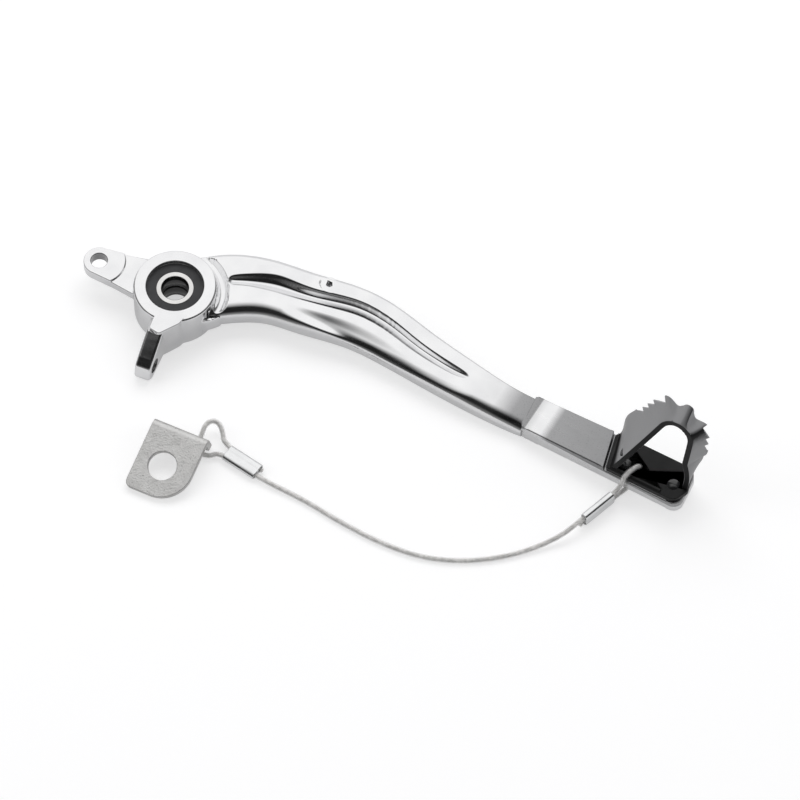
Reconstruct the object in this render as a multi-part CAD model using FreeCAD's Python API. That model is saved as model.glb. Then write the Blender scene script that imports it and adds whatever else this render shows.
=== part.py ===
import FreeCAD, Part
import math
import os

# Rear brake pedal of an off-road motorcycle, lying on its frame side, outer face up.
# Millimetres. The origin is on the pivot axis, at the back face of the bearing pair.
# +Z is the pivot axis towards the rider's boot, +X runs along the arm, +Y is up on the bike.
Vec = FreeCAD.Vector

# Pivot bearings
BORE_R = 6.0
BEARING_R = 14.0
BEARING_W = 8.0
BEARING_COUNT = 2
BALL_R = 2.2
RACE_DEPTH = 0.4
BALL_PITCH_R = (BORE_R + BEARING_R) / 2
INNER_RING_R = BALL_PITCH_R - BALL_R + RACE_DEPTH
OUTER_RING_INNER_R = BALL_PITCH_R + BALL_R - RACE_DEPTH
RING_CHAMFER = 0.3
BALL_COUNT = 8
BALL_GAP = 0.05
SEAL_T = 0.7
SEAL_GAP = 0.05
SEAL_RECESS = 0.25
SEAL_GRIP = 1.1
CAGE_WALL = 0.6
CAGE_HEIGHT = 5.4

# Hub
HUB_WALL = 4.6
HUB_R = BEARING_R + HUB_WALL
FRONT_LIP = 2.0
FRONT_LIP_REACH = 1.1
FRONT_OPENING_R = BEARING_R - FRONT_LIP_REACH
BACK_RECESS = 2.0
HUB_EDGE = 1.2
CIRCLIP_T = 1.2
CIRCLIP_RADIAL = 1.9
CIRCLIP_GROOVE = 0.9
CIRCLIP_GAP = 0.05
CIRCLIP_OPENING = 9.0
CIRCLIP_EAR_R = 1.9
CIRCLIP_EAR_HOLE_R = 0.9

# Levels above the surface that the pedal lies on
GROUND = -BACK_RECESS
STACK_W = BEARING_COUNT * BEARING_W
HUB_TOP = STACK_W + FRONT_LIP

# Round valley in the arm's face beside the hub
ROOT_VALLEY_GAP = 2.7
ROOT_VALLEY_R = HUB_R + ROOT_VALLEY_GAP
ROOT_VALLEY_TUBE = 2.5
ROOT_VALLEY_Z = GROUND + 15.8

# Pushrod lug
LUG_CENTRE = Vec(-34.2, 16.2, 0)
LUG_R = 7.0
LUG_HOLE_R = 3.75
LUG_PAD_R = 11.8
LUG_BACK = GROUND + 9.4
LUG_T = 5.6
LUG_NECK_DROP = 1.0
LUG_NECK = [
    Vec(-32.8, 23.0, 0),
    Vec(-4.0, 14.6, 0),
    Vec(-6.0, -8.0, 0),
    Vec(-16.6, -2.2, 0),
    Vec(-27.6, 4.7, 0),
    Vec(-37.4, 10.0, 0),
]

# Stop ear, in a frame along the ear: x outward from the pivot, y across
EAR_ANGLE = -112.0
EAR_LENGTH = 40.4
EAR_LOW_Y = -3.3
EAR_WIDTH = 7.6
EAR_TIP_TOP = GROUND + 12.4
EAR_SLOPE_START = 24.6
EAR_EDGE_R = 1.3
EAR_HOLE_R = 3.3
EAR_HOLE_INSET = 6.5
EAR_HOLE_LEVEL = GROUND + 6.0
TONGUE = [Vec(0, -2.4, 0), Vec(24.2, -2.2, 0), Vec(25.4, 2.9, 0), Vec(17.0, 9.6, 0), Vec(0, 12.0, 0)]
TONGUE_RADII = [0, 1.0, 1.4, 5.0, 0]
EAR_RADII = [0, 2.2, 2.2, 2.6, 3.0, 3.0, 0]
EAR_FOOT_INSET = 3.2
EAR_NOSE = 0.3
EAR_NOSE_LEVEL = GROUND + 2.6
EAR_BROW_INSET = 1.4
EAR_BROW_DROP = 2.6
EAR_TOP_INSET = 5.0

# Blade and tip seat, in a frame along the blade
BLADE_START = Vec(160.0, -60.0, GROUND + 0.4)
BLADE_HEADING = -31.0
BLADE_INCLINE = 3.0
BLADE_T = 8.8
BLADE_FRONT = -8.5
BLADE_BACK = 10.4
BLADE_FLARE = 0.6
BLADE_ROOT_U = -3.0
BLADE_ROOT_TAPER = 1.5
BLADE_SLANT = 2.0
BLADE_ROOT_R = 2.5
STEP_U = 39.5
STEP_SKEW = 15.6
SEAT_T = 6.2
SEAT_END_U = 77.5
SEAT_CORNER_R = 4.5

# Toe tip
SHEET_T = 2.6
BASE_START_U = 40.6
BASE_LENGTH = 34.4
BASE_CORNER_R = 5.0
BASE_INSET = 0.3
BASE_TAPER = 0.2
BASE_RADII = [1.2, BASE_CORNER_R, 2.0, 3.0, 2.0]
LOOP_SHIFT = 3.4
LOOP_SAMPLES = 64
LOOP_SKEW = STEP_SKEW
LOOP_LEAN = 0.15
LOOP_HEIGHT = 38.5
LOOP_LEFT_U = 1.6
LOOP_LEFT_SLOPE = 64.5
LOOP_RIGHT_U = 35.9
LOOP_APEX_R = 9.0
LOOP_FOOT_R = 6.0
LOOP_FOOT_REACH = 3.4
LOOP_KNEE_REACH = 0.4
LOOP_HEEL_REACH = 2.8
LOOP_SINK = 0.5
STRIP_FRONT_LEFT = -7.4
STRIP_FRONT_APEX = 0.8
STRIP_FRONT_RIGHT = -1.0
STRIP_BACK_FOOT = 10.0
STRIP_BACK_APEX = 7.0
STRIP_FLARE = 7.4
FLARE_RUN = 21.0
FLUTE_DEPTH = 4.4
FLUTE_COUNT = 2
FLUTE_PITCH = 6.8
FLUTE_LEAD = 4.6
TOOTH_PITCH = 4.4
TOOTH_DEPTH = 1.9
TOOTH_TIP_DEPTH = 0.2
TOOTH_LAP = 0.3
TEETH_PER_LEG = 4
RIVET_R = 2.0
RIVET_HEAD_R = 2.8
RIVET_HEAD_T = 1.2
RIVET_DOME = 1.45
RIVET_CLEARANCE = 0.02
RIVET_SINK = 1.6
RIVET_GAP = 0.1
RIVET_PLACES = [Vec(BASE_START_U + 6.2, -2.3, 0), Vec(BASE_START_U + 30.0, -1.1, 0)]
CABLE_HOLE_R = 2.6
CABLE_HOLE = Vec(BASE_START_U + 12.5, -0.3, 0)
BEAD_R = 0.9
BEAD_INSET = 1.1

# Return spring tab on the arm's back edge
TAB_CENTRE = Vec(68.5, 3.6, 0)
TAB_R = 4.2
TAB_T = 4.0
TAB_TOP = GROUND + 14.6
TAB_HOLE_R = 1.5
TAB_ROOT = [Vec(61.0, 0.0, 0), Vec(77.5, -4.0, 0), Vec(77.5, 4.6, 0), Vec(69.5, 7.0, 0), Vec(62.4, 9.8, 0)]

# Safety cable: sleeves, and the route of the rope's centre with heights above the ground
CABLE_R = 1.4
FERRULE_WALL = 0.75
FERRULE_LENGTH = 17.0
BARREL_SPACING = 3.6
FERRULE_GAP = 0.02
FERRULE_LOW = 2.2
FERRULE_FRONT = Vec(192.8, -98.5, GROUND)
FERRULE_AXIS = Vec(0.737, 0.673, 0)
FERRULE_AXIS.normalize()
REAR_FERRULE_FRONT = Vec(23.8, -75.0, GROUND + FERRULE_LOW)
REAR_FERRULE_HEADING = 143.7
FRONT_LOOP = [
    (-19.4, 2.2),
    (2.4, 2.2),
    (6.4, 1.45),
    (15.2, 1.42),
    (17.0, 4.8),
    (17.0, 11.2),
    (13.8, 14.5),
    (7.6, 14.6),
    (5.5, 9.2),
    (3.0, 5.8),
    (-21.5, 5.8),
]
LONG_RUN = [
    (170.4, -117.6, 3.6),
    (158.8, -122.8, 1.6),
    (144.1, -127.4, 1.45),
    (126.4, -129.4, 1.45),
    (108.7, -127.2, 1.45),
    (91.0, -120.0, 1.45),
    (73.5, -109.6, 1.45),
    (58.6, -99.2, 1.45),
    (47.4, -92.9, 1.6),
]
REAR_LOOP = [
    (39.7, -88.9, 2.2),
    (20.5, -74.8, 2.2),
    (15.6, -77.0, 2.0),
    (10.2, -75.0, 2.8),
    (13.0, -66.2, 6.7),
    (15.2, -61.6, 6.2),
    (19.4, -60.6, 5.0),
    (21.8, -65.0, 3.8),
    (22.3, -71.7, 2.2),
    (39.4, -84.2, 2.2),
]

# Anchor bracket, in its own frame: x along the bend, y away from the plate, z up from its face
BRACKET_PLACE = Vec(-8.1, -62.8, GROUND + 12.3)
BRACKET_TURN = -25.0
BRACKET_TILT = 16.5
PLATE_T = 3.0
PLATE_W = 26.5
PLATE_D = 33.0
PLATE_HOLE_R = 6.5
PLATE_HOLE = Vec(12.3, -18.8, 0)
PLATE_CORNER_R = 3.0
FLANGE_LENGTH = 11.9
FLANGE_HOLE_R = 2.8
FLANGE_HOLE_X = 21.0
FLANGE_HOLE_Z = -7.5
FLANGE_CORNER_R = 2.5

# How far cutting bodies reach beyond what they cut
TOOL_REACH = 60.0
TOOL_SKIN = 0.01

PIECES = {}


def keep(name, shape):
    """Store one node's shape under its name."""
    PIECES[name] = shape.removeSplitter() if shape.isValid() else shape


def ring(outer, inner, height, z):
    """A plain ring about the pivot axis."""
    base = Vec(0, 0, z)
    return Part.makeCylinder(outer, height, base).cut(Part.makeCylinder(inner, height, base))


def polygon(points):
    """A closed wire through points."""
    return Part.makePolygon(list(points) + [points[0]])


def prism(points, z0, z1):
    """A prism over a plan polygon between two levels."""
    lifted = [Vec(p.x, p.y, z0) for p in points]
    return Part.Face(polygon(lifted)).extrude(Vec(0, 0, z1 - z0))


def rounded(points, radii):
    """A closed wire of straight runs and tangent arcs: one radius for each corner."""
    count = len(points)
    marks = []
    for i, corner in enumerate(points):
        before = points[i - 1] - corner
        after = points[(i + 1) % count] - corner
        half = before.getAngle(after) / 2
        before.normalize()
        after.normalize()
        reach = radii[i] / math.tan(half)
        bisector = before + after
        bisector.normalize()
        middle = corner + bisector * (radii[i] / math.sin(half) - radii[i])
        marks.append((corner + before * reach, middle, corner + after * reach))
    edges = []
    for i, (start, middle, end) in enumerate(marks):
        if radii[i] > 0:
            edges.append(Part.Arc(start, middle, end).toShape())
        onward = marks[(i + 1) % count][0]
        if (onward - end).Length > 1e-6:
            edges.append(Part.LineSegment(end, onward).toShape())
    return Part.Wire(edges)


def tube_path(points):
    """Straight runs joined by arcs as large as the shorter run beside each point allows."""
    edges = []
    radii = []
    last = points[0]
    for i in range(1, len(points) - 1):
        before = points[i - 1] - points[i]
        after = points[i + 1] - points[i]
        half_turn = (math.pi - before.getAngle(after)) / 2
        reach = 0.45 * min(before.Length, after.Length)
        radius = reach / math.tan(half_turn)
        before.normalize()
        after.normalize()
        start = points[i] + before * reach
        end = points[i] + after * reach
        inward = before + after
        inward.normalize()
        middle = points[i] + inward * (radius / math.cos(half_turn) - radius)
        edges.append(Part.LineSegment(last, start).toShape())
        edges.append(Part.Arc(start, middle, end).toShape())
        radii.append(radius)
        last = end
    edges.append(Part.LineSegment(last, points[-1]).toShape())
    return Part.Wire(edges), radii


def blade_frame():
    """Placement of the blade: along its heading, rising at its incline."""
    turn = FreeCAD.Rotation(Vec(0, 0, 1), BLADE_HEADING)
    rise = FreeCAD.Rotation(Vec(0, 1, 0), -BLADE_INCLINE)
    return FreeCAD.Placement(BLADE_START, turn.multiply(rise))


def bracket_frame():
    """Placement of the bracket, its plate sloping down to the front."""
    turn = FreeCAD.Rotation(Vec(0, 0, 1), BRACKET_TURN)
    tilt = FreeCAD.Rotation(Vec(1, 0, 0), BRACKET_TILT)
    return FreeCAD.Placement(BRACKET_PLACE, turn.multiply(tilt))


def placed(shape, placement):
    """The shape with its placement written into its geometry."""
    return shape.transformed(placement.toMatrix(), True)


def arm_section(back, front, top, bottom, back_r, front_r, low_r):
    """One cross-section of the forged arm: a bar with four rounded edges."""
    corners = [
        Vec(front.x, front.y, bottom),
        Vec(front.x, front.y, top),
        Vec(back.x, back.y, top),
        Vec(back.x, back.y, bottom),
    ]
    return rounded(corners, [low_r, front_r, back_r, low_r])


# Stations of the arm from the hub to the blade: back edge, front edge, heights above
# the ground, and the radii of the back, front and lower edges
ARM_STATIONS = [
    (Vec(6, 18.2, 0), Vec(10, -13.0, 0), 14.8, 4.0, 4.2, 3.8, 2.5),
    (Vec(25, 21.0, 0), Vec(23, -11.2, 0), 16.0, 4.0, 5.6, 3.8, 2.5),
    (Vec(45, 18.2, 0), Vec(39, -11.2, 0), 16.2, 4.0, 6.8, 3.8, 2.5),
    (Vec(63, 11.2, 0), Vec(55, -16.6, 0), 16.0, 4.0, 6.2, 4.0, 2.5),
    (Vec(82, 4.4, 0), Vec(74, -22.8, 0), 15.2, 3.4, 5.0, 5.4, 2.5),
    (Vec(99, -5.2, 0), Vec(90, -30.6, 0), 13.6, 2.2, 4.2, 5.8, 2.4),
    (Vec(115, -18.6, 0), Vec(105, -39.6, 0), 12.4, 1.3, 3.8, 4.6, 2.2),
    (Vec(132, -32.2, 0), Vec(122, -50.0, 0), 11.9, 0.7, 3.5, 3.8, 2.0),
    (Vec(148, -44.2, 0), Vec(141, -60.6, 0), 10.6, 0.3, 2.6, 3.0, 1.6),
    (Vec(161, -51.4, 0), Vec(153, -66.6, 0), 8.6, 0.6, 1.8, 2.2, 1.4),
]

# Stations of the long groove in the arm's outer face: crest, ridge and depth
GROOVE_STATIONS = [
    (Vec(24.6, 6.2, 0), Vec(25.0, 4.8, 0), 0.5),
    (Vec(32.6, 8.5, 0), Vec(31.0, 3.2, 0), 2.0),
    (Vec(43.9, 8.5, 0), Vec(42.0, -0.8, 0), 3.2),
    (Vec(53.2, 4.6, 0), Vec(50.5, -3.8, 0), 3.8),
    (Vec(62.5, 0.6, 0), Vec(59.5, -6.6, 0), 3.8),
    (Vec(73.6, -2.2, 0), Vec(70.0, -10.2, 0), 3.8),
    (Vec(86.0, -6.6, 0), Vec(81.5, -14.0, 0), 3.6),
    (Vec(97.8, -14.6, 0), Vec(92.4, -20.0, 0), 3.4),
    (Vec(106.3, -22.4, 0), Vec(101.8, -27.2, 0), 3.2),
    (Vec(115.0, -29.6, 0), Vec(111.4, -34.0, 0), 2.8),
    (Vec(123.2, -35.6, 0), Vec(120.8, -39.6, 0), 2.0),
    (Vec(129.2, -39.8, 0), Vec(128.2, -42.0, 0), 0.6),
]
# The groove's section: shares of the way from crest to ridge, and of the depth
GROOVE_SECTION = [(0.0, -0.12), (0.1, 0.62), (0.28, 1.0), (0.62, 0.62), (1.0, -0.04)]

# Stations of the shallow flute between the groove and the arm's front edge
FLUTE_STATIONS = [
    (Vec(58.0, -10.4, 0), Vec(56.4, -15.4, 0), 0.3),
    (Vec(70.0, -13.4, 0), Vec(67.4, -21.6, 0), 1.3),
    (Vec(82.0, -17.0, 0), Vec(77.0, -27.0, 0), 1.7),
    (Vec(93.0, -22.6, 0), Vec(87.4, -32.4, 0), 1.7),
    (Vec(103.0, -30.0, 0), Vec(98.0, -38.2, 0), 1.5),
    (Vec(113.0, -37.0, 0), Vec(109.0, -43.6, 0), 1.1),
    (Vec(124.0, -43.6, 0), Vec(122.0, -47.6, 0), 0.3),
]
FLUTE_SECTION = [(0.0, -0.1), (0.2, 0.7), (0.5, 1.0), (0.8, 0.7), (1.0, -0.1)]
GROOVE_CLEAR = 6.0


def level_at(place, column):
    """A height of the arm at a plan point, between the two stations beside it."""
    rows = []
    for row in ARM_STATIONS:
        across = row[0] - row[1]
        ahead = Vec(across.y, -across.x, 0)
        ahead.normalize()
        rows.append(((place - row[1]).dot(ahead), row[column]))
    for (past0, level0), (past1, level1) in zip(rows, rows[1:]):
        if past0 >= 0 >= past1:
            return level0 + (level1 - level0) * past0 / (past0 - past1)
    return rows[-1][1] if rows[-1][0] >= 0 else rows[0][1]


def arm_body():
    """The bar of the arm, lofted through its stations."""
    wires = []
    for back, front, top, bottom, back_r, front_r, low_r in ARM_STATIONS:
        section = arm_section(back, front, GROUND + top, GROUND + bottom, back_r, front_r, low_r)
        wires.append(section)
    valley = Part.makeTorus(ROOT_VALLEY_R, ROOT_VALLEY_TUBE, Vec(0, 0, ROOT_VALLEY_Z))
    return Part.makeLoft(wires, True, False).cut(valley)


def trough_cutter(stations, section):
    """A smooth trough that follows the arm's outer face from station to station."""
    wires = []
    for start, end, depth in stations:
        middle = (start + end) * 0.5
        top = GROUND + level_at(middle, 2)
        across = end - start
        points = []
        for share, fall in section:
            place = start + across * share
            points.append(Vec(place.x, place.y, top - depth * fall))
        high = [Vec(end.x, end.y, top + GROOVE_CLEAR), Vec(start.x, start.y, top + GROOVE_CLEAR)]
        rim = [points[-1], *high, points[0]]
        sides = [Part.LineSegment(a, b).toShape() for a, b in zip(rim, rim[1:])]
        wires.append(Part.Wire([smooth_edge(points), *sides]))
    return Part.makeLoft(wires, True, False)


def hub_blank():
    """The round hub with its rounded rims."""
    body = Part.makeCylinder(HUB_R, HUB_TOP - GROUND, Vec(0, 0, GROUND))
    return body.makeFillet(HUB_EDGE, [body.Edges[0], body.Edges[2]])


def hub_bore():
    """Bearing bore from the back, the front opening behind its lip and the ring groove."""
    seat = Part.makeCylinder(BEARING_R, STACK_W - GROUND, Vec(0, 0, GROUND))
    opening = Part.makeCylinder(FRONT_OPENING_R, FRONT_LIP + 1, Vec(0, 0, STACK_W - 0.5))
    groove_t = CIRCLIP_T + 2 * CIRCLIP_GAP
    groove = Part.makeCylinder(BEARING_R + CIRCLIP_GROOVE, groove_t, Vec(0, 0, -groove_t))
    return seat.fuse([opening, groove])


def lug():
    """The pushrod lug: a round end with a raised pad and a lower neck into the hub."""
    top = LUG_BACK + LUG_T
    plate = prism(LUG_NECK, LUG_BACK, top)
    end = Part.makeCylinder(LUG_R, LUG_T, Vec(LUG_CENTRE.x, LUG_CENTRE.y, LUG_BACK))
    body = plate.fuse(end).removeSplitter()
    corner = Vec(-TOOL_REACH, -TOOL_REACH, top - LUG_NECK_DROP)
    lower = Part.makeBox(TOOL_REACH * 2, TOOL_REACH * 2, LUG_T, corner)
    pad = Part.makeCylinder(LUG_PAD_R, LUG_T * 3, Vec(LUG_CENTRE.x, LUG_CENTRE.y, LUG_BACK - LUG_T))
    return body.cut(lower.cut(pad))


def ear():
    """The stop ear below the hub, sloping down from the hub's tongue to a round end."""
    side = [
        Vec(0, EAR_LOW_Y, GROUND),
        Vec(EAR_LENGTH - EAR_FOOT_INSET, EAR_LOW_Y, GROUND),
        Vec(EAR_LENGTH + EAR_NOSE, EAR_LOW_Y, EAR_NOSE_LEVEL),
        Vec(EAR_LENGTH - EAR_BROW_INSET, EAR_LOW_Y, EAR_TIP_TOP - EAR_BROW_DROP),
        Vec(EAR_LENGTH - EAR_TOP_INSET, EAR_LOW_Y, EAR_TIP_TOP),
        Vec(EAR_SLOPE_START, EAR_LOW_Y, HUB_TOP - EAR_EDGE_R),
        Vec(0, EAR_LOW_Y, HUB_TOP - EAR_EDGE_R),
    ]
    bar = Part.Face(rounded(side, EAR_RADII)).extrude(Vec(0, EAR_WIDTH, 0))
    middle_y = EAR_LOW_Y + EAR_WIDTH / 2
    rims = []
    for face in bar.Faces:
        if abs(face.CenterOfMass.y - middle_y) > EAR_WIDTH / 4:
            for edge in face.Edges:
                if edge.CenterOfMass.z > GROUND + 1 and edge.CenterOfMass.x > 1:
                    rims.append(edge)
    bar = bar.makeFillet(EAR_EDGE_R, rims)
    tongue = Part.Face(rounded(TONGUE, TONGUE_RADII)).extrude(Vec(0, 0, HUB_TOP - GROUND))
    tongue.translate(Vec(0, 0, GROUND))
    hole_start = Vec(EAR_LENGTH - EAR_HOLE_INSET, EAR_LOW_Y - EAR_WIDTH, EAR_HOLE_LEVEL)
    hole = Part.makeCylinder(EAR_HOLE_R, EAR_WIDTH * 3, hole_start, Vec(0, 1, 0))
    return bar.fuse(tongue), hole


def step_shift(v):
    """How far the skewed step line moves along the blade at a place across it."""
    return -math.tan(math.radians(STEP_SKEW)) * (v - BLADE_FRONT)


def blade():
    """The blade and the lower seat beyond its skewed step, in the blade's frame."""
    outline = [
        Vec(BLADE_ROOT_U, BLADE_FRONT, 0),
        Vec(SEAT_END_U, BLADE_FRONT - BLADE_FLARE, 0),
        Vec(SEAT_END_U - BLADE_SLANT, BLADE_BACK + BLADE_FLARE, 0),
        Vec(BLADE_ROOT_U - BLADE_SLANT, BLADE_BACK - BLADE_ROOT_TAPER, 0),
    ]
    wire = rounded(outline, [BLADE_ROOT_R, SEAT_CORNER_R, SEAT_CORNER_R, BLADE_ROOT_R])
    body = Part.Face(wire).extrude(Vec(0, 0, BLADE_T))
    low = BLADE_FRONT - TOOL_REACH
    high = BLADE_BACK + TOOL_REACH
    far = SEAT_END_U + TOOL_REACH
    removed = [
        Vec(STEP_U + step_shift(low), low, 0),
        Vec(far, low, 0),
        Vec(far, high, 0),
        Vec(STEP_U + step_shift(high), high, 0),
    ]
    return body.cut(prism(removed, SEAT_T, BLADE_T * 2))


def loop_path():
    """The step's loop seen from its plain edge: points and outward normals along it."""
    slope = math.radians(LOOP_LEFT_SLOPE)
    centre_u = LOOP_RIGHT_U - LOOP_APEX_R
    centre_w = LOOP_HEIGHT - LOOP_APEX_R
    start = Vec(LOOP_LEFT_U, 0, -LOOP_SINK)
    left_tangent = Vec(centre_u - LOOP_APEX_R * math.sin(slope), 0, centre_w + LOOP_APEX_R * math.cos(slope))
    top = Vec(centre_u, 0, LOOP_HEIGHT)
    right_tangent = Vec(LOOP_RIGHT_U, 0, centre_w)
    knee = Vec(LOOP_RIGHT_U + LOOP_KNEE_REACH, 0, LOOP_FOOT_R * 2.6)
    foot = Vec(LOOP_RIGHT_U + LOOP_FOOT_REACH, 0, LOOP_FOOT_R * 0.8)
    end = Vec(LOOP_RIGHT_U + LOOP_HEEL_REACH, 0, -LOOP_SINK)
    curve = Part.BSplineCurve()
    curve.interpolate([knee, foot, end])
    wire = Part.Wire([
        Part.LineSegment(start, left_tangent).toShape(),
        Part.Arc(left_tangent, top, right_tangent).toShape(),
        Part.LineSegment(right_tangent, knee).toShape(),
        curve.toShape(),
    ])
    return wire


def loop_samples(count):
    """Evenly spaced points along the loop with outward normals and distances."""
    points = loop_path().discretize(Number=count)
    rows = []
    travelled = 0.0
    for i, point in enumerate(points):
        ahead = points[min(i + 1, count - 1)]
        behind = points[max(i - 1, 0)]
        along = ahead - behind
        along.normalize()
        normal = Vec(-along.z, 0, along.x)
        if i:
            travelled += (point - points[i - 1]).Length
        rows.append((point, normal, travelled))
    return rows


def apex_distance(rows):
    """The distance along the loop of its highest point."""
    return max(rows, key=lambda row: row[0].z)[2]


def flute(distance, apex):
    """Depth of the flutes pressed into the apex at a distance along the loop."""
    offset = distance - (apex - FLUTE_LEAD)
    if offset <= 0 or offset >= FLUTE_COUNT * FLUTE_PITCH:
        return 0.0
    wave = (1 - math.cos(2 * math.pi * offset / FLUTE_PITCH)) / 2
    return FLUTE_DEPTH * wave


def skewed(u, v):
    """A plan point of the toe tip, moved along the blade as the step line is."""
    return Vec(u - math.tan(math.radians(LOOP_SKEW)) * (v - BLADE_FRONT), v, 0)


def loop_point(point, v):
    """A loop point in the blade's frame, skewed with the step line and leaning back with height."""
    plan = skewed(BASE_START_U + LOOP_SHIFT * ease(point.z / LOOP_HEIGHT) + point.x, v)
    return plan + Vec(0, LOOP_LEAN * point.z, SEAT_T + SHEET_T + point.z)


def smooth_edge(points):
    """A smooth edge through points."""
    curve = Part.BSplineCurve()
    curve.interpolate(points)
    return curve.toShape()


def ease(share):
    """A smooth rise from 0 to 1."""
    share = max(0.0, min(1.0, share))
    return share * share * (3 - 2 * share)


def strip_front(distance, apex, length):
    """Where the strip's plain edge lies across the blade at a distance along the loop."""
    if distance < apex:
        return STRIP_FRONT_LEFT + (STRIP_FRONT_APEX - STRIP_FRONT_LEFT) * ease(distance / apex)
    share = (distance - apex) / (length - apex)
    return STRIP_FRONT_APEX + (STRIP_FRONT_RIGHT - STRIP_FRONT_APEX) * ease(share)


def strip_back(distance, length):
    """Where the strip's toothed edge lies across the blade, and how far it flares outwards."""
    rise = ease(min(distance, length - distance) / FLARE_RUN)
    return STRIP_BACK_FOOT + (STRIP_BACK_APEX - STRIP_BACK_FOOT) * rise, STRIP_FLARE * rise


def loop_band():
    """The flared and fluted band of the step, a solid sheet between its two edges."""
    rows = loop_samples(LOOP_SAMPLES)
    apex = apex_distance(rows)
    length = rows[-1][2]
    sections = []
    for point, normal, distance in rows:
        front_v = strip_front(distance, apex, length)
        back_v, flare = strip_back(distance, length)
        back = point + normal * (flare - flute(distance, apex))
        inward = normal * -SHEET_T
        corners = [
            loop_point(point, front_v),
            loop_point(back, back_v),
            loop_point(back + inward, back_v),
            loop_point(point + inward, front_v),
        ]
        sections.append(polygon(corners))
    return Part.makeLoft(sections, True, False)


def tooth_cutters():
    """Saw-tooth notches along the back edge of both legs."""
    rows = loop_samples(LOOP_SAMPLES * 4)
    apex = apex_distance(rows)
    length = rows[-1][2]
    starts = {-1: apex - FLUTE_LEAD, 1: apex - FLUTE_LEAD + FLUTE_COUNT * FLUTE_PITCH}
    cutters = []
    for side, start in starts.items():
        for i in range(TEETH_PER_LEG):
            near = start + side * i * TOOTH_PITCH
            far = near + side * (TOOTH_PITCH + TOOTH_LAP)
            corners = []
            notch = ((near, TOOTH_DEPTH), (far, TOOTH_TIP_DEPTH), (far, -TOOTH_DEPTH), (near, -TOOTH_DEPTH))
            for distance, depth in notch:
                point, normal, _ = min(rows, key=lambda row: abs(row[2] - distance))
                back_v, flare = strip_back(distance, length)
                share = depth / (back_v - strip_front(distance, apex, length))
                corners.append(loop_point(point + normal * flare * (1 - share), back_v - depth))
            across = (corners[1] - corners[0]).cross(corners[3] - corners[0])
            across.normalize()
            level = corners[0]
            flat = [corner - across * ((corner - level).dot(across) + SHEET_T * 1.5) for corner in corners]
            cutters.append(Part.Face(polygon(flat)).extrude(across * (SHEET_T * 3)))
    return cutters


def base_plate():
    """The step's flat base with its rounded corners and front bead."""
    front = BLADE_FRONT + BASE_INSET
    outline = [
        skewed(BASE_START_U, front),
        skewed(BASE_START_U + BASE_LENGTH, front - BASE_TAPER),
        skewed(BASE_START_U + LOOP_RIGHT_U + LOOP_FOOT_REACH, STRIP_FRONT_RIGHT),
        skewed(BASE_START_U + LOOP_RIGHT_U + LOOP_FOOT_REACH, STRIP_BACK_FOOT),
        skewed(BASE_START_U, STRIP_BACK_FOOT),
    ]
    wire = rounded(outline, BASE_RADII)
    plate = Part.Face(wire).extrude(Vec(0, 0, SHEET_T))
    plate.translate(Vec(0, 0, SEAT_T))
    bead_start = Vec(BASE_START_U + BASE_CORNER_R / 2, front + BEAD_INSET, SEAT_T + SHEET_T)
    bead = Part.makeCylinder(BEAD_R, BASE_LENGTH - 2 * BASE_CORNER_R, bead_start, Vec(1, 0, 0))
    return plate.fuse(bead)


def toe_tip():
    """The folded sheet step: base, flared loop, flutes, teeth and holes."""
    band = loop_band()
    for cutter in tooth_cutters():
        band = band.cut(cutter)
    corner = Vec(BASE_START_U - TOOL_REACH, -TOOL_REACH, SEAT_T + TOOL_SKIN - TOOL_REACH)
    under = Part.makeBox(TOOL_REACH * 3, TOOL_REACH * 2, TOOL_REACH, corner)
    body = base_plate().fuse(band.cut(under))
    holes = [Part.makeCylinder(CABLE_HOLE_R, SEAT_T * 3, CABLE_HOLE)]
    for place in RIVET_PLACES:
        holes.append(Part.makeCylinder(RIVET_R + RIVET_CLEARANCE, SEAT_T * 3, place))
    return body.cut(Part.makeCompound(holes))


def seat_holes():
    """Holes through the seat for the two rivets and the cable."""
    holes = [Part.makeCylinder(CABLE_HOLE_R, BLADE_T * 2, CABLE_HOLE - Vec(0, 0, BLADE_T))]
    for place in RIVET_PLACES:
        holes.append(Part.makeCylinder(RIVET_R + RIVET_CLEARANCE, SEAT_T * 3, place - Vec(0, 0, SEAT_T)))
        sink_z = place.z - RIVET_SINK
        sink = Vec(place.x, place.y, sink_z)
        holes.append(Part.makeCylinder(RIVET_HEAD_R + RIVET_GAP, RIVET_SINK * 2, sink))
    return Part.makeCompound(holes)


def tip_rivet(place):
    """One rivet: domed head on the step, shank, and closed head sunk under the seat."""
    top = SEAT_T + SHEET_T
    dome_r = RIVET_HEAD_R * RIVET_DOME
    dome = Part.makeSphere(dome_r, Vec(place.x, place.y, top + RIVET_HEAD_T - dome_r))
    head = dome.common(Part.makeCylinder(RIVET_HEAD_R, RIVET_HEAD_T * 2, Vec(place.x, place.y, top)))
    shank = Part.makeCylinder(RIVET_R, top + RIVET_HEAD_T / 3, place)
    closed = Part.makeCylinder(RIVET_HEAD_R, RIVET_SINK - RIVET_GAP, place)
    return head.fuse([shank, closed]).removeSplitter()


def spring_tab():
    """The small drilled tab for the return spring on the arm's back edge."""
    body = Part.makeCylinder(TAB_R, TAB_T, Vec(TAB_CENTRE.x, TAB_CENTRE.y, TAB_TOP - TAB_T))
    root = prism(TAB_ROOT, TAB_TOP - TAB_T, TAB_TOP)
    return body.fuse(root).removeSplitter()


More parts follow.
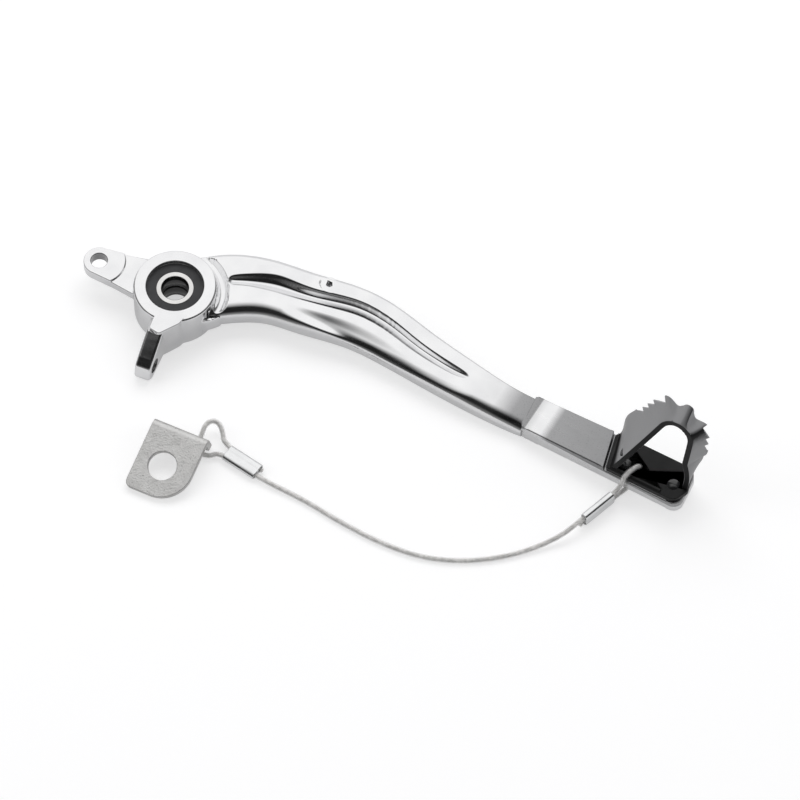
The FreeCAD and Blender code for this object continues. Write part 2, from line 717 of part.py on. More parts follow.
def pedal_arm():
    """The forged arm with its hub, lug, ear, blade and seat."""
    ear_body, ear_hole = ear()
    turn = FreeCAD.Placement(Vec(0, 0, 0), FreeCAD.Rotation(Vec(0, 0, 1), EAR_ANGLE))
    ear_body = placed(ear_body, turn)
    ear_hole = placed(ear_hole, turn)
    blade_body = placed(blade(), blade_frame())
    body = hub_blank().fuse([arm_body(), lug(), ear_body, blade_body, spring_tab()])
    cuts = [
        trough_cutter(GROOVE_STATIONS, GROOVE_SECTION),
        trough_cutter(FLUTE_STATIONS, FLUTE_SECTION),
        hub_bore(),
        ear_hole,
        Part.makeCylinder(LUG_HOLE_R, LUG_T * 3, Vec(LUG_CENTRE.x, LUG_CENTRE.y, LUG_BACK - LUG_T)),
        Part.makeCylinder(TAB_HOLE_R, TAB_TOP - GROUND + TAB_T, Vec(TAB_CENTRE.x, TAB_CENTRE.y, GROUND)),
        placed(seat_holes(), blade_frame()),
    ]
    for cut in cuts:
        body = body.cut(cut)
    return body


def bearing(prefix, z):
    """One sealed ball bearing: two rings, balls, cage and a seal on each side."""
    outer = ring(BEARING_R, OUTER_RING_INNER_R, BEARING_W, z)
    inner = ring(INNER_RING_R, BORE_R, BEARING_W, z)
    circles = [edge for edge in inner.Edges if isinstance(edge.Curve, Part.Circle)]
    rims = [edge for edge in circles if edge.Curve.Radius < (BORE_R + INNER_RING_R) / 2]
    inner = inner.makeChamfer(RING_CHAMFER, rims)
    middle = z + BEARING_W / 2
    race = Part.makeTorus(BALL_PITCH_R, BALL_R + BALL_GAP, Vec(0, 0, middle))
    seal_seats = []
    seals = []
    for low in (z + SEAL_RECESS, z + BEARING_W - SEAL_RECESS - SEAL_T):
        seals.append(ring(OUTER_RING_INNER_R + SEAL_GRIP, INNER_RING_R + SEAL_GAP, SEAL_T, low))
    seat_t = SEAL_RECESS + SEAL_T
    for low in (z, z + BEARING_W - seat_t):
        seal_seats.append(ring(OUTER_RING_INNER_R + SEAL_GRIP, OUTER_RING_INNER_R - RACE_DEPTH, seat_t, low))
    keep(prefix + "_outer_ring", outer.cut(race).cut(Part.makeCompound(seal_seats)))
    keep(prefix + "_inner_ring", inner.cut(race))
    keep(prefix + "_rear_seal", seals[0])
    keep(prefix + "_front_seal", seals[1])
    balls = []
    pockets = []
    for i in range(BALL_COUNT):
        angle = 2 * math.pi * i / BALL_COUNT
        centre = Vec(BALL_PITCH_R * math.cos(angle), BALL_PITCH_R * math.sin(angle), middle)
        balls.append(Part.makeSphere(BALL_R, centre))
        outward = Vec(math.cos(angle), math.sin(angle), 0)
        start = centre - outward * BALL_R
        pockets.append(Part.makeCylinder(BALL_R + BALL_GAP, BALL_R * 2, start, outward))
    keep(prefix + "_balls", Part.makeCompound(balls))
    cage = ring(BALL_PITCH_R + CAGE_WALL, BALL_PITCH_R - CAGE_WALL, CAGE_HEIGHT, middle - CAGE_HEIGHT / 2)
    keep(prefix + "_cage", cage.cut(Part.makeCompound(pockets)))


def circlip():
    """The open retaining ring with its two drilled ears, in the hub's groove."""
    outer_r = BEARING_R + CIRCLIP_GROOVE - CIRCLIP_GAP
    z = -CIRCLIP_T - CIRCLIP_GAP
    body = ring(outer_r, outer_r - CIRCLIP_RADIAL, CIRCLIP_T, z)
    gap = Part.makeBox(outer_r, CIRCLIP_OPENING, CIRCLIP_T * 3, Vec(0, -CIRCLIP_OPENING / 2, z - CIRCLIP_T))
    body = body.cut(gap)
    for side in (-1, 1):
        y = side * (CIRCLIP_OPENING / 2 + CIRCLIP_EAR_R * 0.7)
        x = math.sqrt((outer_r - CIRCLIP_RADIAL) ** 2 - y * y) - CIRCLIP_EAR_R * 0.4
        body = body.fuse(Part.makeCylinder(CIRCLIP_EAR_R, CIRCLIP_T, Vec(x, y, z)))
        body = body.cut(Part.makeCylinder(CIRCLIP_EAR_HOLE_R, CIRCLIP_T * 3, Vec(x, y, z - CIRCLIP_T)))
    return body


def front_plane(distance, height):
    """A point in the upright plane of the front ferrule and the cable hole."""
    return FERRULE_FRONT + FERRULE_AXIS * distance + Vec(0, 0, height)


def cable_route():
    """The rope's whole route: front end, front loop, long run, rear loop, rear end."""
    points = [front_plane(distance, height) for distance, height in FRONT_LOOP]
    points += [Vec(x, y, GROUND + height) for x, y, height in LONG_RUN]
    points += [Vec(x, y, GROUND + height) for x, y, height in REAR_LOOP]
    return points


def safety_cable():
    """The rope as one tube along its route."""
    path, radii = tube_path(cable_route())
    start = path.Edges[0].valueAt(path.Edges[0].FirstParameter)
    heading = path.Edges[0].tangentAt(path.Edges[0].FirstParameter)
    section = Part.Wire([Part.makeCircle(CABLE_R, start, heading)])
    tube = path.makePipeShell([section], True, False)
    expected = math.pi * CABLE_R ** 2 * path.Length
    print("cable length", round(path.Length, 1), "volume ratio", round(tube.Volume / expected, 4))
    print("cable radii", [round(radius, 1) for radius in radii])
    return tube


def ferrule():
    """A crimped double sleeve: two barrels side by side, along x from its front end."""
    outer_r = CABLE_R + FERRULE_WALL
    web_t = outer_r * 1.5
    web_corner = Vec(-FERRULE_LENGTH, -BARREL_SPACING / 2, -web_t / 2)
    body = Part.makeBox(FERRULE_LENGTH, BARREL_SPACING, web_t, web_corner)
    holes = []
    for side in (-0.5, 0.5):
        y = side * BARREL_SPACING
        barrel = Part.makeCylinder(outer_r, FERRULE_LENGTH, Vec(-FERRULE_LENGTH, y, 0), Vec(1, 0, 0))
        body = body.fuse(barrel)
        start = Vec(-FERRULE_LENGTH * 1.5, y, 0)
        holes.append(Part.makeCylinder(CABLE_R + FERRULE_GAP, FERRULE_LENGTH * 2, start, Vec(1, 0, 0)))
    return body.removeSplitter().cut(Part.makeCompound(holes))


def anchor_bracket():
    """The bent lug: holed plate with one large round corner, and a drilled flange."""
    big_r = PLATE_W - PLATE_HOLE.x
    outline = [
        Vec(0, 0, -PLATE_T),
        Vec(0, -PLATE_D, -PLATE_T),
        Vec(PLATE_W, -PLATE_D, -PLATE_T),
        Vec(PLATE_W, 0, -PLATE_T),
    ]
    plate = Part.Face(rounded(outline, [0, PLATE_CORNER_R, big_r, 0])).extrude(Vec(0, 0, PLATE_T))
    length = FLANGE_LENGTH
    flange = Part.makeBox(PLATE_W, PLATE_T, length, Vec(0, -PLATE_T, -length))
    upright = [edge for edge in flange.Edges if abs(edge.tangentAt(edge.FirstParameter).y) > 0.99]
    corners = [edge for edge in upright if edge.CenterOfMass.z < -length / 2]
    flange = flange.makeFillet(FLANGE_CORNER_R, corners)
    body = plate.fuse(flange).removeSplitter()
    bend = [
        edge for edge in body.Edges
        if abs(edge.CenterOfMass.y) < 1e-6 and abs(edge.CenterOfMass.z) < 1e-6 and edge.Length > PLATE_W / 2
    ]
    body = body.makeFillet(PLATE_T, bend)
    flange_hole = Vec(FLANGE_HOLE_X, -PLATE_T * 2, FLANGE_HOLE_Z)
    holes = [
        Part.makeCylinder(PLATE_HOLE_R, PLATE_T * 3, PLATE_HOLE - Vec(0, 0, PLATE_T * 2)),
        Part.makeCylinder(FLANGE_HOLE_R, PLATE_T * 3, flange_hole, Vec(0, 1, 0)),
    ]
    return placed(body.cut(Part.makeCompound(holes)), bracket_frame())


def front_ferrule():
    """The front sleeve, its barrels one above the other."""
    heading = math.degrees(math.atan2(FERRULE_AXIS.y, FERRULE_AXIS.x))
    turn = FreeCAD.Rotation(Vec(0, 0, 1), heading).multiply(FreeCAD.Rotation(Vec(1, 0, 0), 90))
    middle = FERRULE_FRONT + Vec(0, 0, FERRULE_LOW + BARREL_SPACING / 2)
    return placed(ferrule(), FreeCAD.Placement(middle, turn))


def rear_ferrule():
    """The rear sleeve, its barrels side by side on the ground."""
    turn = FreeCAD.Rotation(Vec(0, 0, 1), REAR_FERRULE_HEADING)
    return placed(ferrule(), FreeCAD.Placement(REAR_FERRULE_FRONT, turn))


def build():
    """Every node of the pedal."""
    keep("pedal_arm", pedal_arm())
    bearing("lower_bearing", 0.0)
    bearing("upper_bearing", BEARING_W)
    keep("bearing_circlip", circlip())
    keep("toe_tip", placed(toe_tip(), blade_frame()))
    for name, place in zip(("rear_tip_rivet", "front_tip_rivet"), RIVET_PLACES):
        keep(name, placed(tip_rivet(place), blade_frame()))
    keep("safety_cable", safety_cable())
    keep("front_ferrule", front_ferrule())
    keep("rear_ferrule", rear_ferrule())
    keep("anchor_bracket", anchor_bracket())


def main():
    """Build every node and write it."""
    os.makedirs("parts", exist_ok=True)
    build()
    for node, shape in PIECES.items():
        shape.exportStep("parts/" + node + ".step")
        print(node, "valid" if shape.isValid() else "INVALID", len(shape.Solids), round(shape.Volume, 1))


if __name__ == "__main__":
    main()
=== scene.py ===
"""Rear brake pedal of an off-road motorcycle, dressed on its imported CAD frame."""
import logging
import math
from dataclasses import dataclass
from enum import Enum

import bmesh
import bpy
import numpy as np
from bmesh.types import BMEdge, BMesh, BMVert
from bpy.types import Material, Mesh, Node, NodeSocket, NodeTree, Object
from mathutils import Matrix, Vector
from mathutils.geometry import delaunay_2d_cdt


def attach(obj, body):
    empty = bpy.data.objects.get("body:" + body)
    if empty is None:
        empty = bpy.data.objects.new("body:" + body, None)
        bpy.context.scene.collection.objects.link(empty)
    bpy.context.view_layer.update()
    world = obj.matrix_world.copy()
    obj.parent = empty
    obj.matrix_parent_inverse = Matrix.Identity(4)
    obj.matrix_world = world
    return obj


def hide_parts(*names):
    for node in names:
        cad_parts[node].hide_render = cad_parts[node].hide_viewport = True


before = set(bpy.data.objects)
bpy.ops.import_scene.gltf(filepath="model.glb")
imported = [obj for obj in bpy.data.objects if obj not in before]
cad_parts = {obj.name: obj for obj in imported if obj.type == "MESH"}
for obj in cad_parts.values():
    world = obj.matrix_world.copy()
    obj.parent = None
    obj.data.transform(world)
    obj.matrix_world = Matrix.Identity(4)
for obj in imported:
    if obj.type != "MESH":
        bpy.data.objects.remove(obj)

LOG = logging.getLogger("pedal")
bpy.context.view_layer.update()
MM = 0.001
GROUND = -2.0 * MM  # the level that heights in this file start from
WELD = 2e-6  # loose triangles closer than this are merged, in metres
FLAT_ANGLE = 0.4  # faces within this angle count as one flat face, in degrees
BREAK_ANGLE = 50.0  # edges sharper than this are broken, in degrees
SMOOTH_ANGLE = 34.0  # edges sharper than this stay sharp, in degrees
ROOM_ALONG = 0.3  # least length of the next broken edge, in widths of the rounding
ROOM_BESIDE = 1.3  # least length of any other edge that meets a broken one, in the same widths
FLAT_WEIGHT = 100  # full say of the large faces over the shading
CLOUDS = (0.35, 0.68)  # the part of a noise that makes clouds
WEAR = (0.3, 0.7)  # the part of a noise that makes wear
Point = tuple[float, float, float]
Colour = tuple[float, float, float]
Corner = tuple[float, float]
Range = tuple[float, float]


def darker(colour: Colour, share: float) -> Colour:
    """A share of a colour."""
    return tuple(share * part for part in colour)


def circle(radius: float, corners: int) -> list[Corner]:
    """Points round a circle about the origin."""
    return [(radius * math.cos(a), radius * math.sin(a)) for a in np.linspace(0, 2 * math.pi, corners + 1)[:-1]]


class Lay(Enum):
    """The way a finish's fine lines run, as the noise's scale along each axis."""

    NONE = (1.0, 1.0, 1.0)
    ALONG_X = (0.04, 1.0, 1.0)
    ROUND = (0.3, 0.3, 1.0)


class Nodes:
    """A node tree, built node by node."""

    def __init__(self, tree: NodeTree) -> None:
        """Start over in a tree.

        Args:
            tree: The tree, which is emptied.
        """
        self.tree = tree
        tree.nodes.clear()

    def add(self, kind: str, sockets: dict | None = None, **settings) -> Node:
        """Add a node.

        Args:
            kind: Blender's node type.
            sockets: Input values or linked sockets, by name or number.
            **settings: The node's own properties.

        Returns:
            The new node.
        """
        node = self.tree.nodes.new(kind)
        for key, value in settings.items():
            setattr(node, key, value)
        for key, value in (sockets or {}).items():
            if isinstance(value, NodeSocket):
                self.tree.links.new(value, node.inputs[key])
            else:
                node.inputs[key].default_value = value
        return node

    def math(self, operation: str, a, b=0.0) -> NodeSocket:
        """The result of Blender's operation of that name on two numbers."""
        return self.add("ShaderNodeMath", {0: a, 1: b}, operation=operation).outputs[0]

    def vector(self, operation: str, a, b=(0.0, 0.0, 0.0)) -> NodeSocket:
        """The result of Blender's operation of that name on two vectors: a vector, or a number where it gives one."""
        node = self.add("ShaderNodeVectorMath", {0: a, 1: b}, operation=operation)
        return node.outputs["Value" if operation in ("DOT_PRODUCT", "LENGTH") else "Vector"]

    def axis(self, vector: NodeSocket, letter: str) -> NodeSocket:
        """One coordinate of a vector."""
        return self.add("ShaderNodeSeparateXYZ", {0: vector}).outputs[letter]

    def span(self, value: NodeSocket, low: float, high: float, to_low: float, to_high: float) -> NodeSocket:
        """Map a value from one range to another, held at its ends."""
        sockets = {0: value, 1: low, 2: high, 3: to_low, 4: to_high}
        return self.add("ShaderNodeMapRange", sockets, clamp=True).outputs[0]

    def share(self, value: NodeSocket, low: float, high: float) -> NodeSocket:
        """How far a value is from a low to a high limit, from 0 to 1."""
        return self.span(value, low, high, 0.0, 1.0)

    def mix(self, factor, a, b) -> NodeSocket:
        """Mix two colours by a factor."""
        colours = [part if isinstance(part, NodeSocket) else (*part, 1.0) for part in (a, b)]
        return self.add("ShaderNodeMix", {0: factor, 6: colours[0], 7: colours[1]}, data_type="RGBA").outputs[2]


class Shader(Nodes):
    """A material's node tree."""

    def __init__(self, name: str) -> None:
        """Start an empty material.

        Args:
            name: The material's name.
        """
        self.material = bpy.data.materials.new(name)
        self.material.use_nodes = True
        super().__init__(self.material.node_tree)

    def place(self) -> NodeSocket:
        """The point on the object, in metres."""
        return self.add("ShaderNodeTexCoord").outputs["Object"]

    def noise(self, scale: float, stretch: Point = (1, 1, 1), detail: float = 3.0, turn: float = 0.0) -> NodeSocket:
        """Noise over the object.

        Args:
            scale: Features to a metre.
            stretch: Scale of each axis.
            detail: Octaves of finer noise.
            turn: Turn of the pattern about Z, in degrees.

        Returns:
            The noise's value.
        """
        turned = self.add("ShaderNodeMapping", {"Vector": self.place(), "Rotation": (0, 0, -math.radians(turn))})
        scaled = self.add("ShaderNodeMapping", {"Vector": turned.outputs[0], "Scale": stretch})
        node = self.add("ShaderNodeTexNoise", {"Vector": scaled.outputs[0], "Scale": scale, "Detail": detail})
        return node.outputs["Fac"]

    def ramp(self, value: NodeSocket, stops: list[Range]) -> NodeSocket:
        """A value that follows grey stops, each a place and a level."""
        node = self.add("ShaderNodeValToRGB", {0: value})
        elements = node.color_ramp.elements
        while len(elements) < len(stops):
            elements.new(1.0)
        for element, (place, level) in zip(elements, stops):
            element.position = place
            element.color = (level, level, level, 1.0)
        return node.outputs["Color"]

    def bump(self, height: NodeSocket, depth: float, under: NodeSocket | None = None) -> NodeSocket:
        """Raise the surface by a height of a depth in metres, over another bump."""
        sockets = {"Height": height, "Distance": depth, "Strength": 1.0}
        if under is not None:
            sockets["Normal"] = under
        return self.add("ShaderNodeBump", sockets).outputs[0]

    def surface(self, sockets: dict) -> Material:
        """Give the material one principled surface with these inputs."""
        return self.finish(self.add("ShaderNodeBsdfPrincipled", sockets).outputs[0])

    def finish(self, surface: NodeSocket) -> Material:
        """Join the surface to the output and give the material."""
        self.add("ShaderNodeOutputMaterial", {"Surface": surface})
        return self.material


@dataclass(frozen=True)
class Finish:
    """A metal, rubber or coating: colour, gloss, fine lines and waviness."""

    name: str
    colour: Colour
    tint: Colour
    metallic: float
    gloss: Range
    mottle: float = 90.0
    grain: float = 1500.0
    lay: Lay = Lay.NONE
    turn: float = 0.0
    grain_depth: float = 4e-6
    wave: float = 60.0
    wave_depth: float = 4e-5
    speck: float = 0.0
    speck_size: float = 0.8
    speck_noise: Range = (0.64, 0.7)
    speck_share: float = 0.25
    wear_size: float = 2.3
    specular: float = 0.5

    def colours(self, shader: Shader) -> NodeSocket:
        """The colour, with its cloudy tint and specks."""
        cloud = shader.share(shader.noise(self.mottle), *CLOUDS)
        colour = shader.mix(cloud, self.colour, self.tint)
        if self.speck:
            specks = shader.noise(self.grain * self.speck_size, detail=1.0)
            dots = shader.span(specks, *self.speck_noise, 0.0, self.speck)
            colour = shader.mix(dots, colour, darker(self.colour, self.speck_share))
        return colour

    def relief(self, shader: Shader) -> NodeSocket:
        """The slow waves of the surface under its fine lines."""
        waves = shader.bump(shader.noise(self.wave, detail=2.0), self.wave_depth)
        lines = shader.noise(self.grain, self.lay.value, 4.0, self.turn)
        return shader.bump(lines, self.grain_depth, waves)

    def roughness(self, shader: Shader) -> NodeSocket:
        """The gloss, duller in its worn clouds."""
        wear = shader.noise(self.mottle * self.wear_size, self.lay.value, 5.0, self.turn)
        return shader.span(wear, *WEAR, *self.gloss)

    def material(self) -> Material:
        """Build the finish as a procedural material."""
        shader = Shader(self.name)
        return shader.surface({
            "Base Color": self.colours(shader),
            "Metallic": self.metallic,
            "Roughness": self.roughness(shader),
            "Normal": self.relief(shader),
            "Specular IOR Level": self.specular,
        })


@dataclass(frozen=True)
class Hole:
    """A round hole that a finish looks different in: a point and the heading of its axis, and its reach."""

    centre: Point
    axis: Point
    reach: float

    def offset(self, shader: Shader) -> NodeSocket:
        """The place from the hole's point."""
        return shader.vector("SUBTRACT", shader.place(), self.centre)

    def along(self, shader: Shader) -> NodeSocket:
        """The distance along the hole, in metres."""
        return shader.vector("DOT_PRODUCT", self.offset(shader), self.axis)

    def within(self, shader: Shader) -> NodeSocket:
        """1 on the hole's wall and 0 elsewhere."""
        across = shader.vector("CROSS_PRODUCT", self.offset(shader), self.axis)
        return shader.math("LESS_THAN", shader.vector("LENGTH", across), self.reach)


@dataclass(frozen=True)
class ArmFinish(Finish):
    """Polished aluminium that turns to a finer brushing along the blade, with a painted reflection of grey and bright
    bands about the blade and painted shade in its holes.
    """

    blade_start: Point = (0.166, -0.064, 0.0)
    heading: float = -31.0
    blade_edge: Range = (-0.011, -0.008)
    blade_gloss: Range = (0.24, 0.38)
    # The blade colour below is a painted reflection: the mid grey that the blade's face shows, not the metal's own
    # colour.
    blade_reflection_grey: Colour = (0.31, 0.31, 0.315)
    blade_grain: float = 420.0
    blade_specks: tuple[float, float, float, float] = (0.6, 0.72, 0.0, 0.35)
    blade_speck_grain: float = 1600.0
    # Painted reflection bands along the blade: grey before its root, a bright band at the root, grey along the blade;
    # only on faces above the face levels.
    reflection_reach: float = 0.045
    reflection_stops: tuple[Range, ...] = (
        (-0.040, 0.0), (-0.026, 0.15), (-0.017, 0.9), (-0.0085, 1.0), (-0.0082, 0.3),
        (-0.005, 0.0), (-0.001, 0.0), (0.003, 0.9), (0.03, 1.0), (0.045, 0.8),
    )
    reflection_face_levels: Range = (5.6 * MM, 6.2 * MM)
    pushrod_hole: Hole = Hole((-34.2 * MM, 16.2 * MM, 0.0), (0.0, 0.0, 1.0), 3.9 * MM)
    ear_hole: Hole = Hole((-12.2 * MM, -31.6 * MM, 4.0 * MM), (-0.927, 0.375, 0.0), 3.5 * MM)
    # Painted shade inside the pushrod and ear holes, as a share of the polished colour.
    hole_shade: float = 0.35
    thread_pitch: float = 1.0 * MM
    thread_depth: float = 1.5e-4

    def relief(self, shader: Shader) -> NodeSocket:
        """The polished surface, and the thread in the ear's hole."""
        turns = shader.math("MULTIPLY", self.ear_hole.along(shader), 2 * math.pi / self.thread_pitch)
        thread = shader.math("MULTIPLY", shader.math("SINE", turns), self.ear_hole.within(shader))
        return shader.bump(thread, self.thread_depth, super().relief(shader))

    def along_blade(self, shader: Shader) -> NodeSocket:
        """The distance along the blade from a little past its root, in metres."""
        turn = math.radians(self.heading)
        offset = shader.vector("SUBTRACT", shader.place(), self.blade_start)
        return shader.vector("DOT_PRODUCT", offset, (math.cos(turn), math.sin(turn), 0))

    def roughness(self, shader: Shader) -> NodeSocket:
        """The gloss of the arm, and the duller blade."""
        plain = super().roughness(shader)
        lines = shader.noise(self.blade_grain, (0.2, 1.0, 1.0), 4.0, self.heading)
        brushed = shader.span(lines, *WEAR, *self.blade_gloss)
        blade = shader.share(self.along_blade(shader), *self.blade_edge)
        return shader.math("ADD", plain, shader.math("MULTIPLY", blade, shader.math("SUBTRACT", brushed, plain)))

    def colours(self, shader: Shader) -> NodeSocket:
        """The arm's colour, the blade's painted reflection grey with its fine specks, and painted shade in the holes.
        """
        plain = super().colours(shader)
        specks = shader.span(shader.noise(self.blade_speck_grain, detail=1.0), *self.blade_specks)
        # Painted reflection grey of the blade, with fine specks in it.
        grey = shader.mix(specks, self.blade_reflection_grey, darker(self.blade_reflection_grey, 0.5))
        place = shader.share(self.along_blade(shader), -self.reflection_reach, self.reflection_reach)
        stops = [((at + self.reflection_reach) / (2 * self.reflection_reach), share) for at, share in self.reflection_stops]
        face = shader.share(shader.axis(shader.place(), "Z"), *self.reflection_face_levels)
        # Painted reflection bands mixed into the polished colour on the upper faces.
        metal = shader.mix(shader.math("MULTIPLY", shader.ramp(place, stops), face), plain, grey)
        # Painted shade on the walls of both holes.
        holes = shader.math("MAXIMUM", self.pushrod_hole.within(shader), self.ear_hole.within(shader))
        return shader.mix(holes, metal, darker(self.colour, self.hole_shade))


@dataclass(frozen=True)
class BoreShadeFinish(Finish):
    """Ground steel with painted shade in its bore, darker than its faces."""

    bore_radius: float = 6.12 * MM
    # Share of the steel's colour kept inside the bore: painted shade.
    bore_shade: float = 0.14

    def colours(self, shader: Shader) -> NodeSocket:
        """The steel's colour, and painted shade in the bore."""
        reach = shader.vector("LENGTH", shader.vector("MULTIPLY", shader.place(), (1.0, 1.0, 0.0)))
        inside = shader.math("LESS_THAN", reach, self.bore_radius)
        return shader.mix(inside, super().colours(shader), darker(self.colour, self.bore_shade))


@dataclass(frozen=True)
class SheenShadeCoatFinish(Finish):
    """Black coating with painted light: painted sheen grey on the raised strip's lit faces, painted shade black on the
    base and the strip's front rim.
    """

    # Painted light by height and facing: the raised colour is a painted sheen above these levels, the base below stays
    # black as painted shade, and the rim and outer leg ranges pick faces by their normals.
    levels: Range = (12.5 * MM, 16.0 * MM)
    raised: Colour = (0.34, 0.34, 0.343)
    rim: Range = (-0.8, -0.55)
    lit_leg_facing: Range = (0.22, 0.34)

    def colours(self, shader: Shader) -> NodeSocket:
        """The coat's colour, with painted sheen grey on the raised strip but painted shade on its front rim and on the
        base.
        """
        # Painted sheen share: high faces not turned to the front, or turned to +X; faces turned to the front stay black
        # as painted shade.
        normal = shader.add("ShaderNodeTexCoord").outputs["Normal"]
        face = shader.share(shader.axis(normal, "Y"), *self.rim)
        leg = shader.share(shader.axis(normal, "X"), *self.lit_leg_facing)
        height = shader.share(shader.axis(shader.place(), "Z"), *self.levels)
        share = shader.math("MULTIPLY", height, shader.math("MAXIMUM", face, leg))
        return shader.mix(share, super().colours(shader), self.raised)


@dataclass(frozen=True)
class ClearCoat:
    """The rope's clear plastic jacket."""

    name: str = "clear_jacket"
    colour: Colour = (0.97, 0.97, 0.96)
    tint: Colour = (0.9, 0.9, 0.89)
    gloss: Range = (0.08, 0.16)
    cover: float = 0.16
    grain: float = 700.0
    grain_depth: float = 1e-5

    def material(self) -> Material:
        """Build the jacket: clear, with faint streaks."""
        shader = Shader(self.name)
        streaks = shader.noise(self.grain, detail=2.0)
        return shader.surface({
            "Base Color": shader.mix(shader.share(streaks, 0.4, 0.7), self.colour, self.tint),
            "Roughness": shader.span(streaks, *WEAR, *self.gloss),
            "Normal": shader.bump(streaks, self.grain_depth),
            "Alpha": self.cover,
        })


POLISHED = ArmFinish(
    "polished_aluminium", (0.9, 0.9, 0.905), (0.84, 0.84, 0.85), 1.0, (0.1, 0.19), grain=1300.0, lay=Lay.ALONG_X,
    turn=-12.0, grain_depth=2.5e-6, wave=55.0, wave_depth=5e-5,
)
RING_STEEL = Finish(
    "ground_steel", (0.74, 0.73, 0.72), (0.62, 0.61, 0.6), 1.0, (0.16, 0.26), grain=2600.0, lay=Lay.ROUND,
)
INNER_STEEL = BoreShadeFinish(
    "bored_steel", (0.8, 0.79, 0.78), (0.7, 0.69, 0.68), 1.0, (0.14, 0.24), grain=2600.0, lay=Lay.ROUND,
)
CAGE_STEEL = Finish("cage_steel", (0.6, 0.6, 0.6), (0.5, 0.5, 0.5), 1.0, (0.3, 0.4))
SEAL_RUBBER = Finish(
    "seal_rubber", (0.028, 0.028, 0.03), (0.04, 0.04, 0.042), 0.0, (0.5, 0.66), grain=3000.0, grain_depth=1e-5,
    wave_depth=1e-5,
)
BLACK_COAT = SheenShadeCoatFinish(
    "black_coat", (0.004, 0.004, 0.0042), (0.008, 0.008, 0.0085), 0.0, (0.34, 0.46), grain=2200.0, grain_depth=7e-6,
    wave=120.0, wave_depth=2e-5, specular=0.28,
)
RIVET_BLACK = Finish("rivet_black", (0.012, 0.012, 0.0125), (0.02, 0.02, 0.021), 0.0, (0.08, 0.16), specular=0.8)
STRAND_STEEL = Finish(
    "strand_steel", (0.86, 0.85, 0.83), (0.6, 0.59, 0.57), 0.45, (0.28, 0.42), mottle=500.0, grain=4000.0,
)
SLEEVE_METAL = Finish(
    "sleeve_aluminium", (0.88, 0.885, 0.89), (0.78, 0.785, 0.79), 1.0, (0.16, 0.3), grain=2400.0, wave=200.0,
    wave_depth=2e-5,
)
BLASTED = Finish(
    "blasted_steel", (0.74, 0.735, 0.725), (0.66, 0.655, 0.645), 1.0, (0.34, 0.46), mottle=160.0, grain=1300.0,
    grain_depth=1.4e-4, wave=350.0, wave_depth=3e-5, speck=0.3,
)


